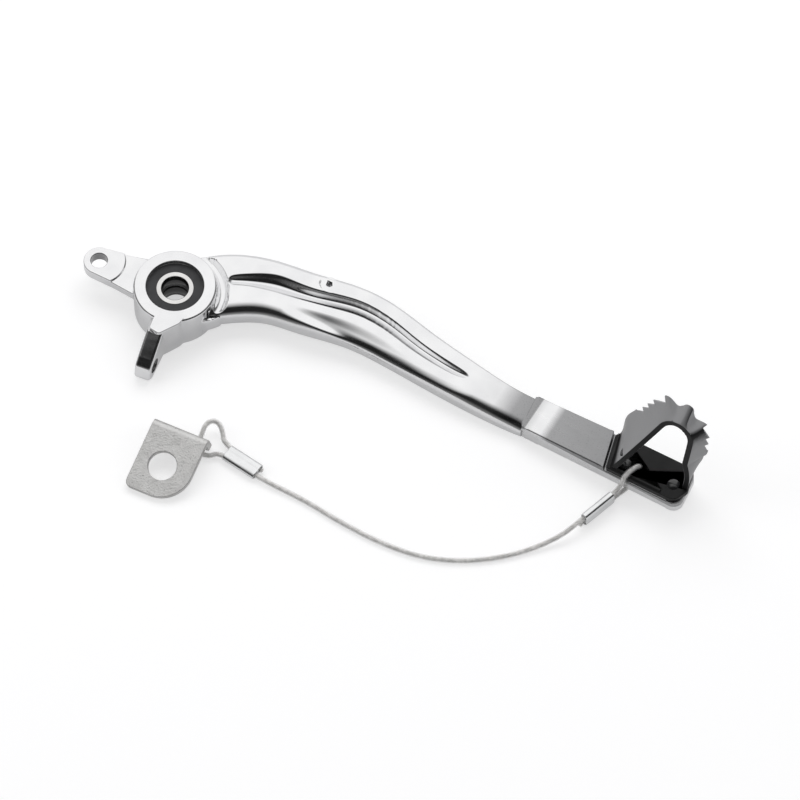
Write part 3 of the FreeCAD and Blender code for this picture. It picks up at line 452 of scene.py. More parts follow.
class Piece:
    """Shared ways of making and dressing a mesh."""

    @staticmethod
    def link(name: str, data: bpy.types.ID) -> Object:
        """Put a mesh, curve, camera or lamp in the scene under a name."""
        piece = bpy.data.objects.new(name, data)
        bpy.context.scene.collection.objects.link(piece)
        return piece

    @staticmethod
    def dress(piece: Object, finish: Material) -> None:
        """Give a piece one material."""
        piece.data.materials.clear()
        piece.data.materials.append(finish)

    @staticmethod
    def opened(mesh: Mesh) -> BMesh:
        """A mesh open for work, with its loose triangles merged."""
        work = bmesh.new()
        work.from_mesh(mesh)
        bmesh.ops.remove_doubles(work, verts=work.verts, dist=WELD)
        return work

    @staticmethod
    def flatten(work: BMesh) -> None:
        """Join the triangles of each flat face."""
        bmesh.ops.dissolve_degenerate(work, dist=WELD, edges=work.edges)
        bmesh.ops.dissolve_limit(work, angle_limit=math.radians(FLAT_ANGLE), verts=work.verts, edges=work.edges)

    @staticmethod
    def closed(work: BMesh, mesh: Mesh) -> Mesh:
        """End the work and put its result in a mesh."""
        work.to_mesh(mesh)
        work.free()
        return mesh

    @classmethod
    def finished(cls, name: str, mesh: Mesh, angle: float = SMOOTH_ANGLE, flat: bool = True) -> Object:
        """Shade a mesh smooth and put it in the scene.

        Args:
            name: The piece's name.
            mesh: Its mesh.
            angle: Edges sharper than this stay sharp, in degrees.
            flat: Whether flat faces are kept flat beside their rounded edges.

        Returns:
            The new piece.
        """
        mesh.shade_smooth()
        mesh.set_sharp_from_angle(angle=math.radians(angle))
        piece = cls.link(name, mesh)
        if flat:
            modifier = piece.modifiers.new("flat_faces", "WEIGHTED_NORMAL")
            modifier.keep_sharp = True
            modifier.weight = FLAT_WEIGHT
        return piece

    @classmethod
    def merged(cls, node: str, name: str, edge: float = 0.0, angle: float = 30.0) -> Object:
        """Copy a CAD node with its loose triangles merged, and let the copy stand for it.

        Args:
            node: The CAD node.
            name: The copy's name.
            edge: Width of the broken edges, in metres.
            angle: Edges sharper than this are broken, in degrees.

        Returns:
            The new piece.
        """
        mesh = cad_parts[node].data.copy()
        work = cls.opened(mesh)
        if edge:
            cls.flatten(work)
            cls.break_edges(work, edge, angle)
        piece = cls.finished(name, cls.closed(work, mesh), flat=bool(edge))
        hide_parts(node)
        return piece

    @classmethod
    def plate(cls, outline: list[Corner], holes: list[Point], low: float, high: float, corners: int = 24) -> Mesh:
        """An upright-sided plate over a plan outline, with round holes.

        Args:
            outline: Plan corners, in millimetres.
            holes: Centre and radius of each hole.
            low: Level of its underside.
            high: Level of its face.
            corners: Corners of each hole.

        Returns:
            The plate's mesh.
        """
        work = bmesh.new()
        rims = [outline] + [[(x + px, y + py) for px, py in circle(radius, corners)] for x, y, radius in holes]
        edges = []
        for rim in rims:
            vertices = [work.verts.new((px * MM, py * MM, low * MM)) for px, py in rim]
            edges += [work.edges.new((vertices[i - 1], vertices[i])) for i in range(len(vertices))]
        bmesh.ops.triangle_fill(work, use_beauty=True, use_dissolve=False, edges=edges)
        grown = bmesh.ops.extrude_face_region(work, geom=list(work.faces))
        lifted = [item for item in grown["geom"] if isinstance(item, BMVert)]
        bmesh.ops.translate(work, verts=lifted, vec=(0, 0, (high - low) * MM))
        bmesh.ops.recalc_face_normals(work, faces=work.faces)
        return cls.closed(work, bpy.data.meshes.new("plate"))

    @staticmethod
    def sharp_edges(work: BMesh, angle: float) -> list[BMEdge]:
        """The edges sharper than an angle in degrees."""
        limit = math.radians(angle)
        return [edge for edge in work.edges if len(edge.link_faces) == 2 and edge.calc_face_angle() > limit]

    @classmethod
    def break_edges(cls, work: BMesh, width: float, angle: float = BREAK_ANGLE) -> None:
        """Round the sharp edges that have room for it.

        Args:
            work: The mesh.
            width: Width of the rounding, in metres.
            angle: Edges sharper than this are rounded, in degrees.
        """
        sharp = cls.sharp_edges(work, angle)
        least = dict.fromkeys(sharp, ROOM_ALONG * width)
        roomy = {
            vertex for edge in sharp for vertex in edge.verts
            if all(near.calc_length() > least.get(near, ROOM_BESIDE * width) for near in vertex.link_edges)
        }
        cls.bevel(work, [edge for edge in sharp if roomy.issuperset(edge.verts)], width)

    @classmethod
    def break_long(cls, work: BMesh, width: float, angle: float, shortest: float) -> None:
        """Round the long sharp edges, all but their ends."""
        chosen = [edge for edge in cls.sharp_edges(work, angle) if edge.calc_length() > shortest]
        for edge in chosen:
            for vertex in tuple(edge.verts):
                bmesh.utils.edge_split(edge, vertex, 2 * width / edge.calc_length())
        cls.bevel(work, chosen, width)

    @staticmethod
    def bevel(work: BMesh, edges: list[BMEdge], width: float) -> None:
        """Round some edges, in three steps."""
        bmesh.ops.bevel(
            work, geom=edges, offset=width, offset_type="OFFSET", segments=3, profile=0.5, affect="EDGES",
            clamp_overlap=False,
        )


@dataclass(frozen=True)
class BarStation:
    """One cross-section of the arm between hub and blade, in millimetres above the ground."""

    back: Corner
    front: Corner
    top: float
    bottom: float
    back_round: float
    slope: Range
    low_round: float

    def row(self) -> tuple[float, ...]:
        """The station's sizes in one row."""
        return (*self.back, *self.front, self.top, self.bottom, self.back_round, *self.slope, self.low_round)


@dataclass(frozen=True)
class TroughStation:
    """One place along a trough in the arm's face: its two edges and its depth."""

    near: Corner
    far: Corner
    depth: float
    wall: float = 0.5

    def row(self) -> tuple[float, ...]:
        """The station's sizes in one row."""
        return (*self.near, *self.far, self.depth, self.wall)


BAR_STATIONS = tuple(BarStation(*row) for row in (
    ((6, 18.2), (10, -13.0), 14.8, 4.0, 4.2, (8.6, 5.0), 2.5),
    ((25, 21.0), (23, -11.2), 16.0, 4.0, 5.6, (9.0, 5.0), 2.5),
    ((45, 18.2), (39, -11.2), 16.2, 4.0, 6.8, (9.0, 5.2), 2.5),
    ((63, 11.2), (55, -16.6), 16.0, 4.0, 6.2, (7.0, 4.6), 2.5),
    ((82, 4.4), (74, -22.8), 15.2, 3.4, 5.0, (4.2, 3.8), 2.5),
    ((99, -5.2), (90, -30.6), 13.6, 2.2, 4.2, (4.0, 3.8), 2.4),
    ((115, -18.6), (105, -39.6), 12.4, 1.3, 3.8, (4.6, 4.2), 2.2),
    ((132, -32.2), (122, -50.0), 11.9, 0.7, 3.5, (6.0, 5.0), 2.0),
    ((148, -44.2), (141, -60.6), 10.6, 0.3, 2.6, (7.6, 5.4), 1.6),
    ((161, -51.4), (153, -66.6), 8.6, 0.6, 1.8, (7.0, 4.6), 1.4),
))
GROOVE = tuple(TroughStation(*row) for row in (
    ((23.6, 6.6), (23.4, 3.4), 0.0, 0.3),
    ((25.6, 8.0), (25.4, 1.8), 1.7, 0.34),
    ((32.6, 8.8), (31.4, 1.4), 2.4, 0.42),
    ((43.9, 8.5), (42.0, -1.6), 3.1, 0.42),
    ((53.2, 4.9), (50.5, -4.4), 3.3, 0.38),
    ((62.5, 0.8), (59.5, -7.0), 3.3, 0.33),
    ((73.6, -2.2), (70.0, -10.4), 3.2, 0.28),
    ((86.0, -6.6), (81.5, -14.2), 3.1, 0.26),
    ((97.8, -14.4), (92.4, -20.4), 2.9, 0.27),
    ((106.3, -22.0), (101.6, -27.6), 2.7, 0.28),
    ((115.0, -29.2), (111.0, -34.4), 2.4, 0.3),
    ((123.2, -35.2), (120.2, -40.2), 2.0, 0.34),
    ((128.2, -38.8), (126.0, -42.8), 1.4, 0.36),
    ((131.0, -41.2), (129.6, -44.0), 0.0, 0.4),
))
FLUTE = tuple(TroughStation(*row) for row in (
    ((48.0, -4.0), (46.0, -11.0), 0.0),
    ((58.0, -8.0), (55.4, -15.8), 1.0),
    ((70.0, -11.6), (66.4, -21.6), 2.0, 0.56),
    ((82.0, -15.6), (76.4, -27.6), 2.3, 0.6),
    ((93.0, -21.6), (86.6, -33.4), 2.1, 0.6),
    ((103.0, -29.0), (97.2, -39.2), 1.5, 0.56),
    ((113.0, -36.0), (108.2, -44.8), 0.7),
    ((124.0, -43.0), (121.4, -49.2), 0.3),
    ((132.0, -49.0), (131.0, -52.0), 0.0),
))


class SmoothRun:
    """Values at even steps, joined by a natural cubic spline."""

    def __init__(self, values) -> None:
        """Fit the spline.

        Args:
            values: One row of numbers for each step.
        """
        self.values = np.array(values, float)
        count = len(self.values)
        system = np.eye(count)
        right = np.zeros_like(self.values)
        for i in range(1, count - 1):
            system[i, i - 1:i + 2] = (1, 4, 1)
            right[i] = 6 * (self.values[i - 1] - 2 * self.values[i] + self.values[i + 1])
        self.bend = np.linalg.solve(system, right)

    def at(self, places: np.ndarray) -> np.ndarray:
        """The values at any places between 0 and the last step."""
        low = np.clip(places.astype(int), 0, len(self.values) - 2)
        b = (places - low)[:, None]
        a = 1 - b
        curve = (a ** 3 - a) * self.bend[low] + (b ** 3 - b) * self.bend[low + 1]
        return a * self.values[low] + b * self.values[low + 1] + curve / 6


@dataclass
class PedalArm(Piece):
    """The forged arm with hub, lug, ear, blade and tip seat; its bar is laid as one smooth skin.

    Sizes without MM are in millimetres, and their levels start from the ground.
    """

    edge: float = 0.4 * MM
    blade_edge: float = 0.9 * MM
    blade_angle: float = 60.0
    blade_least: float = 20.0 * MM
    rows: int = 330
    trough_rows: int = 400
    face_columns: int = 76
    turn_columns: int = 9
    slope_columns: int = 17
    wall_columns: int = 3
    groove_lead: float = 0.04
    groove_lip: float = 0.02
    groove_ridge: Point = (0.06, 1.02, 0.09)
    hub_radius: float = 18.6
    hub_clearance: float = 0.03
    hub_corners: int = 96
    hub_levels: Range = (1.4, 18.4)
    hub_wall: float = 2.0
    core_radius: float = 16.4
    valley: Point = (21.3, 2.5, 15.8)
    blade_start: Corner = (160.0, -60.0)
    blade_heading: float = -31.0
    root_end: float = -2.95
    root_corners: tuple[Corner, ...] = (
        (-2.98, -8.0), (-2.4, -8.46), (6, -8.5), (6, 9.3), (-3.6, 8.85), (-4.95, 8.2),
    )
    root_levels: Range = (0.5, 8.95)
    beside: Range = (-7.0, 0.8)
    ahead_of_hub: float = 3.0
    tab_centre: Corner = (68.5, 3.6)
    tab_radius: float = 4.2
    tab_foot: tuple[Corner, ...] = ((61.0, 0.0), (77.5, -4.0), (77.5, 2.6), (62.4, 8.6))
    tab_nose: Range = (0.5, 2.2)
    nose_corners: int = 14
    tab_hole: float = 1.5
    tab_levels: Range = (10.6, 14.6)
    tab_flat: float = 0.7
    tab_rim: Range = (0.78, 1.26)

    def __post_init__(self) -> None:
        """Lay out the bar's section lines."""
        steps = np.linspace(0, len(BAR_STATIONS) - 1, self.rows)
        table = SmoothRun([station.row() for station in BAR_STATIONS]).at(steps)
        self.back, self.front = table[:, 0:2], table[:, 2:4]
        self.sizes = [table[:, k:k + 1] for k in range(4, table.shape[1])]
        self.width = np.linalg.norm(self.front - self.back, axis=1)
        self.across = (self.front - self.back) / self.width[:, None]
        turn = math.radians(self.blade_heading)
        self.cos, self.sin = math.cos(turn), math.sin(turn)

    def nearest(self, row: np.ndarray) -> np.ndarray:
        """The whole row nearest to each place among the rows."""
        return np.clip(np.rint(row).astype(int), 0, self.rows - 1)

    def locate(self, points: np.ndarray) -> tuple[np.ndarray, np.ndarray]:
        """Find plan points among the section lines.

        Args:
            points: Plan points, in millimetres.

        Returns:
            For each point the row it lies on, -1 outside the bar's ends, and its distance from the back edge.
        """
        ahead = np.stack([-self.across[:, 1], self.across[:, 0]], axis=1)
        past = np.einsum("prk,rk->pr", points[:, None, :] - self.back[None], ahead)
        crossed = (past[:, :-1] >= 0) & (past[:, 1:] < 0)
        found = crossed.any(axis=1)
        low = crossed.argmax(axis=1)
        index = np.arange(len(points))
        share = past[index, low] / (past[index, low] - past[index, low + 1] + 1e-12)
        row = np.where(found, low + share, -1.0)
        near = self.nearest(row)
        return row, np.einsum("pk,pk->p", points - self.back[near], self.across[near])

    def trough(self, stations: tuple[TroughStation, ...], offsets: np.ndarray, shape) -> np.ndarray:
        """How deep a trough cuts at every place of the bar's face.

        Args:
            stations: The trough's stations.
            offsets: Distances from the back edge, a row for each section.
            shape: Depth share for a share of the way across the trough.

        Returns:
            The depth at each offset.
        """
        fine = np.linspace(0, len(stations) - 1, self.trough_rows)
        run = SmoothRun([station.row() for station in stations]).at(fine)
        near_row, near_depth = self.locate(run[:, 0:2])
        far_row, far_depth = self.locate(run[:, 2:4])
        order = np.arange(self.rows)
        start = np.interp(order, near_row, near_depth)[:, None]
        end = np.interp(order, far_row, far_depth)[:, None]
        middle = (near_row + far_row) / 2
        depth = np.interp(order, middle, np.maximum(run[:, 4], 0.0), left=0.0, right=0.0)[:, None]
        wall = np.interp(order, middle, run[:, 5])[:, None]
        return depth * shape((offsets - start) / (end - start), wall)

    @staticmethod
    def ease(share: np.ndarray) -> np.ndarray:
        """A smooth rise from 0 to 1."""
        share = np.clip(share, 0.0, 1.0)
        return share * share * (3 - 2 * share)

    def groove_shape(self, share: np.ndarray, wall: np.ndarray) -> np.ndarray:
        """A near wall over its share of the way, a low floor, a long rise, and a small ridge at the far edge."""
        floor, end = wall + self.groove_lip, 1 - self.groove_lip
        wall = self.ease((share + self.groove_lead) / (wall + self.groove_lead))
        rise = 1 - self.ease((share - floor) / (end - floor))
        height, place, width = self.groove_ridge
        return wall * rise - height * np.exp(-((share - place) / width) ** 2)

    def flute_shape(self, share: np.ndarray, wall: np.ndarray) -> np.ndarray:
        """A round hollow, its lowest point at the wall's share."""
        return self.ease(share / wall) * (1 - self.ease((share - wall) / (1 - wall)))

    def section_points(self) -> tuple[np.ndarray, np.ndarray]:
        """Offsets and heights of every section's closed outline.

        Returns:
            Two arrays, a row for each section and a column for each point round it.
        """
        turn, slope_turn = (np.linspace(0, math.pi / 2, count) for count in (self.turn_columns, self.slope_columns))
        wide = self.width[:, None]
        top, bottom, round_back, slope, drop, low = self.sizes
        share = np.linspace(0, 1, self.face_columns)[None, 1:-1]
        face = np.concatenate([
            round_back * (1 - np.cos(turn)),
            round_back + (wide - slope - round_back) * share,
            wide - slope * (1 - np.sin(slope_turn)),
        ], axis=1)
        height = np.concatenate([
            top - round_back * (1 - np.sin(turn)),
            np.repeat(top, self.face_columns - 2, axis=1),
            top - drop * (1 - np.cos(slope_turn)),
        ], axis=1)
        height = height - self.trough(GROOVE, face, self.groove_shape) - self.trough(FLUTE, face, self.flute_shape)
        step = np.linspace(0, 1, self.wall_columns + 2)[None, 1:-1]
        front_low, back_low = top - drop, top - round_back
        offsets = [
            face,
            np.repeat(wide, self.wall_columns, axis=1),
            wide - low * (1 - np.cos(turn)),
            low + (wide - 2 * low) * (1 - step),
            low * (1 - np.sin(turn)),
            np.repeat(wide * 0, self.wall_columns, axis=1),
        ]
        heights = [
            height,
            front_low + (bottom + low - front_low) * step,
            bottom + low * (1 - np.sin(turn)),
            np.repeat(bottom, self.wall_columns, axis=1),
            bottom + low * (1 - np.cos(turn)),
            bottom + low + (back_low - bottom - low) * step,
        ]
        return np.concatenate(offsets, axis=1), np.concatenate(heights, axis=1)

    def drill(self, plan: np.ndarray, heights: np.ndarray) -> tuple[np.ndarray, np.ndarray]:
        """Sink the spring hole into the face, its rim drawn onto a circle, in a small flat."""
        centre = np.array(self.tab_centre)
        away = np.linalg.norm(plan - centre, axis=2)
        face = heights > self.tab_levels[0]
        flat = face & (away < self.tab_radius)
        heights = np.where(flat, np.minimum(heights, self.tab_levels[1] + self.tab_flat), heights)
        inside, outside = (share * self.tab_hole for share in self.tab_rim)
        drawn = centre + (plan - centre) * (self.tab_hole / np.maximum(away, 0.01))[:, :, None]
        plan = np.where((face & (away > inside) & (away < outside))[:, :, None], drawn, plan)
        return plan, np.where(face & (away <= inside), self.tab_levels[0], heights)

    def skin(self) -> Mesh:
        """The bar as one closed skin, sunk into the hub and the blade."""
        offsets, heights = self.section_points()
        plan = self.back[:, None, :] + self.across[:, None, :] * offsets[:, :, None]
        reach = np.linalg.norm(plan, axis=2)
        ring_r, tube, centre = self.valley
        away = np.clip(1 - ((reach - ring_r) / tube) ** 2, 0.0, 1.0)
        floor = centre - tube * np.sqrt(away)
        heights = np.where(away > 0, np.minimum(heights, floor), heights)
        pull = np.maximum(1.0, self.core_radius / np.maximum(reach, 0.1))
        plan = plan * pull[:, :, None]
        plan, heights = self.drill(plan, heights)
        columns = plan.shape[1]
        points = np.concatenate([plan, heights[:, :, None]], axis=2).reshape(-1, 3) * MM
        points[:, 2] += GROUND
        faces = [
            tuple(row * columns + column for row, column in ((i, j), (i + 1, j), (i + 1, k), (i, k)))
            for i in range(self.rows - 1) for j, k in zip(range(columns), [*range(1, columns), 0])
        ]
        outline = [Vector((x, z)) for x, z in zip(offsets[0], heights[0])]
        filled = delaunay_2d_cdt(outline, [], [list(range(columns))], 1, 1e-6)
        faces += [tuple(filled[3][corner][0] for corner in reversed(face)) for face in filled[2]]
        last = (self.rows - 1) * columns
        faces.append(tuple(last + j for j in reversed(range(columns))))
        mesh = bpy.data.meshes.new("bar_skin")
        mesh.from_pydata([tuple(point) for point in points], [], faces)
        return mesh

    def raised(self, outline: list[Corner], holes: list[Point], low: float, high: float) -> Mesh:
        """A plate between two levels above the ground, in millimetres."""
        return self.plate(outline, holes, low + GROUND / MM, high + GROUND / MM)

    def tab(self) -> Mesh:
        """The drilled tab for the return spring."""
        x, y = self.tab_centre
        angles = np.linspace(*self.tab_nose, self.nose_corners)
        nose = [(x + self.tab_radius * math.cos(a), y + self.tab_radius * math.sin(a)) for a in angles]
        *foot, last = self.tab_foot
        return self.raised([*foot, *nose, last], [(x, y, self.tab_hole)], *self.tab_levels)

    def root(self) -> Mesh:
        """The blade's end that the bar runs into."""
        x, y = self.blade_start
        outline = [(x + u * self.cos - v * self.sin, y + u * self.sin + v * self.cos) for u, v in self.root_corners]
        return self.raised(outline, [], *self.root_levels)

    def core(self) -> Mesh:
        """A ring wall just inside the hub's side, where the bar meets it."""
        radius = self.hub_radius - self.hub_clearance
        bore = (0.0, 0.0, radius - self.hub_wall)
        return self.raised(circle(radius, self.hub_corners), [bore], *self.hub_levels)

    def replaced(self, centres: np.ndarray) -> np.ndarray:
        """Which faces of the CAD arm belong to the bar, by their centres in millimetres."""
        row, offset = self.locate(centres[:, 0:2])
        before, past = self.beside
        inside = (row >= 0) & (offset > before) & (offset < self.width[self.nearest(row)] + past)
        beyond = np.linalg.norm(centres[:, 0:2], axis=1) > self.hub_radius + 2 * self.hub_clearance
        x, y = self.blade_start
        along = (centres[:, 0] - x) * self.cos + (centres[:, 1] - y) * self.sin
        return inside & beyond & (along < self.root_end) & (centres[:, 0] > self.ahead_of_hub)

    def build(self) -> Object:
        """Lay the bar's skin in place of the CAD arm's own, and dress the whole arm."""
        work = self.opened(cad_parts["pedal_arm"].data)
        centres = np.array([face.calc_center_median()[:] for face in work.faces]) / MM
        gone = [face for face, out in zip(work.faces, self.replaced(centres)) if out]
        bmesh.ops.delete(work, geom=gone, context="FACES")
        self.flatten(work)
        for mesh in (self.skin(), self.tab(), self.root(), self.core()):
            work.from_mesh(mesh)
            bpy.data.meshes.remove(mesh)
        self.break_long(work, self.blade_edge, self.blade_angle, self.blade_least)
        self.break_edges(work, self.edge)
        arm = self.finished("forged_arm", self.closed(work, bpy.data.meshes.new("forged_arm")))
        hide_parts("pedal_arm")
        self.dress(arm, POLISHED.material())
        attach(arm, "pedal")
        return arm


@dataclass
class PivotBearings(Piece):
    """The two sealed bearings and the ring that keeps them in."""

    levels: tuple[str, str] = ("lower", "upper")
    play: float = 0.02 * MM

    def ease_apart(self, ring: Object) -> None:
        """Shorten an inner ring by its play, so that the pair turns freely."""
        heights = [vertex.co.z for vertex in ring.data.vertices]
        low, high = min(heights), max(heights)
        middle = (low + high) / 2
        for vertex in ring.data.vertices:
            vertex.co.z = middle + (vertex.co.z - middle) * (1 - self.play / (high - low))

    def build(self) -> int:
        """Dress every ring, ball, cage and seal.

        Returns:
            How many pieces were dressed.
        """
        steel = RING_STEEL.material()
        cage = CAGE_STEEL.material()
        rubber = SEAL_RUBBER.material()
        parts = {
            "outer_ring": (steel, "bearing_steel", "pedal"),
            "inner_ring": (INNER_STEEL.material(), "bearing_steel", "{}_inner"),
            "balls": (steel, "bearing_steel", "{}_cage"),
            "cage": (cage, "cage_steel", "{}_cage"),
            "rear_seal": (rubber, "seal_rubber", "pedal"),
            "front_seal": (rubber, "seal_rubber", "pedal"),
        }
        count = 0
        for level in self.levels:
            for part, (material, slot, body) in parts.items():
                piece = self.merged(f"{level}_bearing_{part}", f"{level}_{part}")
                if part == "inner_ring":
                    self.ease_apart(piece)
                self.dress(piece, material)
                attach(piece, body.format(level))
                count += 1
        self.dress(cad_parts["bearing_circlip"], cage)
        return count + 1


@dataclass
class ToeTip(Piece):
    """The folded black step and its two rivets."""

    edge: float = 0.25 * MM

    def build(self) -> Object:
        """Dress the folded step and its rivets."""
        tip = self.merged("toe_tip", "folded_step", self.edge)
        self.dress(tip, BLACK_COAT.material())
        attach(tip, "pedal")
        rivet = RIVET_BLACK.material()
        for node in ("rear_tip_rivet", "front_tip_rivet"):
            self.dress(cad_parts[node], rivet)
        return tip


@dataclass
class Sleeve(Piece):
    """A crimped double sleeve, pressed to a soft figure of eight round both ropes, in millimetres."""

    node: str
    front: Point
    heading: float
    upright: bool
    length: float = 17.0
    spacing: float = 3.6
    bore: float = 1.42
    outer: float = 2.15
    waist: float = 0.28
    waist_reach: float = 1.1
    squareness: float = 0.8
    edge: float = 0.3 * MM
    smooth_angle: float = 40.0
    corners: int = 56

    def outline(self) -> list[Corner]:
        """The section's outline, in millimetres."""
        points = []
        half = self.spacing / 2 + self.outer
        for turn in (2 * math.pi * i / self.corners for i in range(self.corners)):
            across = half * math.cos(turn)
            pinch = 1 - self.waist * math.exp(-(across / self.waist_reach) ** 2)
            rise = self.outer * abs(math.sin(turn)) ** self.squareness * pinch
            points.append((across, math.copysign(rise, math.sin(turn))))
        return points

    def build(self, finish: Material) -> Object:
        """Press the sleeve, put it in its place and dress it."""
        half = self.spacing / 2
        mesh = self.plate(self.outline(), [(-half, 0.0, self.bore), (half, 0.0, self.bore)], -self.length, 0.0)
        turn = math.radians(self.heading)
        along = Vector((math.cos(turn), math.sin(turn), 0))
        side = Vector((0, 0, 1)) if self.upright else Vector((-math.sin(turn), math.cos(turn), 0))
        axes = Matrix((side, along.cross(side), along)).transposed().to_4x4()
        mesh.transform(Matrix.Translation(Vector(self.front) * MM + Vector((0, 0, GROUND))) @ axes)
        work = bmesh.new()
        work.from_mesh(mesh)
        self.break_edges(work, self.edge)
        piece = self.finished(self.node + "_sleeve", self.closed(work, mesh), self.smooth_angle)
        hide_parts(self.node)
        self.dress(piece, finish)
        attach(piece, "pedal")
        return piece


@dataclass
class SafetyRope(Piece):
    """The jacketed wire rope, looped through the tip and through the bent lug."""

    radius: float = 1.4 * MM
    core_radius: float = 0.98 * MM
    strands: int = 7
    pitch: float = 9.0 * MM
    sides: int = 14
    strand_sides: int = 6
    line_steps: int = 14
    lug_edge: float = 0.3 * MM
    sleeve_front: Point = (192.8, -98.5, 0.0)
    sleeve_rise: float = 4.0
    sleeve_axis: Corner = (0.737, 0.673)
    rear_sleeve: tuple[Point, float] = ((23.8, -75.0, 2.2), 143.7)

    FRONT_LOOP = (
        (-19.4, 2.2), (2.4, 2.2), (6.4, 1.45), (15.2, 1.42), (17.0, 4.8), (17.0, 11.2), (13.8, 14.5), (7.6, 14.6),
        (5.5, 9.2), (3.0, 5.8), (-21.5, 5.8),
    )
    LONG_RUN = (
        (170.4, -117.6, 3.6), (158.8, -122.8, 1.6), (144.1, -127.4, 1.45), (126.4, -129.4, 1.45), (108.7, -127.2, 1.45),
        (91.0, -120.0, 1.45), (73.5, -109.6, 1.45), (58.6, -99.2, 1.45), (47.4, -92.9, 1.6),
    )
    REAR_LOOP = (
        (39.7, -88.9, 2.2), (20.5, -74.8, 2.2), (15.6, -77.0, 2.0), (10.2, -75.0, 2.8), (13.0, -66.2, 6.7),
        (15.2, -61.6, 6.2), (19.4, -60.6, 5.0), (21.8, -65.0, 3.8), (22.3, -71.7, 2.2), (39.4, -84.2, 2.2),
    )

    TREE_INPUTS = (
        ("Geometry", "Geometry"), ("Strand Radius", "Float"), ("Lay Radius", "Float"), ("Pitch", "Float"),
        ("Strand Count", "Int"), ("Sides", "Int"),
    )

    def route(self) -> list[Vector]:
        """The rope's given route points, in metres."""
        along = Vector((*self.sleeve_axis, 0.0)).normalized()
        front = Vector(self.sleeve_front)
        points = [front + along * distance + Vector((0, 0, height)) for distance, height in self.FRONT_LOOP]
        points += [Vector(point) for point in self.LONG_RUN + self.REAR_LOOP]
        return [point * MM + Vector((0, 0, GROUND)) for point in points]

    def line(self) -> list[Vector]:
        """Points read from the route's smooth spline."""
        curve = bpy.data.curves.new("rope_route", "CURVE")
        curve.dimensions = "3D"
        spline = curve.splines.new("NURBS")
        points = self.route()
        spline.points.add(len(points) - 1)
        for target, point in zip(spline.points, points):
            target.co = (*point, 1.0)
        spline.order_u = 3
        spline.use_endpoint_u = True
        spline.resolution_u = self.line_steps
        mesh = self.evaluated(self.link("rope_route", curve))
        result = [vertex.co.copy() for vertex in mesh.vertices]
        bpy.data.meshes.remove(mesh)
        return result

    @staticmethod
    def evaluated(holder: Object) -> Mesh:
        """The plain mesh that an object comes to, in place of the object."""
        bpy.context.view_layer.update()
        mesh = bpy.data.meshes.new_from_object(holder.evaluated_get(bpy.context.evaluated_depsgraph_get()))
        bpy.data.objects.remove(holder)
        return mesh

    @staticmethod
    def laid(nodes: Nodes, curve: NodeSocket, start: bpy.types.NodeOutputs) -> NodeSocket:
        """Lay copies of a curve round it, as a rope's strands.

        Args:
            nodes: The node tree.
            curve: The curve.
            start: The tree's inputs.

        Returns:
            The strands' curves.
        """
        sockets = {"Geometry": curve, "Amount": start["Strand Count"]}
        copies = nodes.add("GeometryNodeDuplicateElements", sockets, domain="SPLINE").outputs
        turns = nodes.math("DIVIDE", nodes.add("GeometryNodeSplineParameter").outputs["Length"], start["Pitch"])
        phase = nodes.math("ADD", turns, nodes.math("DIVIDE", copies["Duplicate Index"], start["Strand Count"]))
        angle = nodes.math("MULTIPLY", phase, 2 * math.pi)
        normal = nodes.add("GeometryNodeInputNormal").outputs[0]
        side = nodes.vector("CROSS_PRODUCT", nodes.add("GeometryNodeInputTangent").outputs[0], normal)
        parts = []
        for axis, wave in ((normal, "COSINE"), (side, "SINE")):
            reach = nodes.math("MULTIPLY", nodes.math(wave, angle), start["Lay Radius"])
            parts.append(nodes.add("ShaderNodeVectorMath", {0: axis, "Scale": reach}, operation="SCALE").outputs[0])
        moved = {"Geometry": copies["Geometry"], "Offset": nodes.vector("ADD", *parts)}
        return nodes.add("GeometryNodeSetPosition", moved).outputs[0]

    def tree(self, name: str, material: Material, twisted: bool) -> NodeTree:
        """A node tree that lays one or more round strands along an edge line.

        Args:
            name: The tree's name.
            material: What its mesh is made of.
            twisted: Whether the strands are laid round the line.

        Returns:
            The tree, with named inputs for its sizes.
        """
        tree = bpy.data.node_groups.new(name, "GeometryNodeTree")
        for label, kind in self.TREE_INPUTS:
            tree.interface.new_socket(label, in_out="INPUT", socket_type="NodeSocket" + kind)
        tree.interface.new_socket("Geometry", in_out="OUTPUT", socket_type="NodeSocketGeometry")
        nodes = Nodes(tree)
        start = nodes.add("NodeGroupInput").outputs
        strands = nodes.add("GeometryNodeMeshToCurve", {0: start["Geometry"]}).outputs[0]
        if twisted:
            strands = self.laid(nodes, strands, start)
        sockets = {"Resolution": start["Sides"], "Radius": start["Strand Radius"]}
        profile = nodes.add("GeometryNodeCurvePrimitiveCircle", sockets).outputs["Curve"]
        sockets = {"Curve": strands, "Profile Curve": profile, "Fill Caps": True}
        rope = nodes.add("GeometryNodeCurveToMesh", sockets).outputs[0]
        rope = nodes.add("GeometryNodeSetShadeSmooth", {"Geometry": rope}).outputs[0]
        rope = nodes.add("GeometryNodeRealizeInstances", {0: rope}).outputs[0]
        rope = nodes.add("GeometryNodeSetMaterial", {"Geometry": rope, "Material": material}).outputs[0]
        nodes.add("NodeGroupOutput", {0: rope})
        return tree

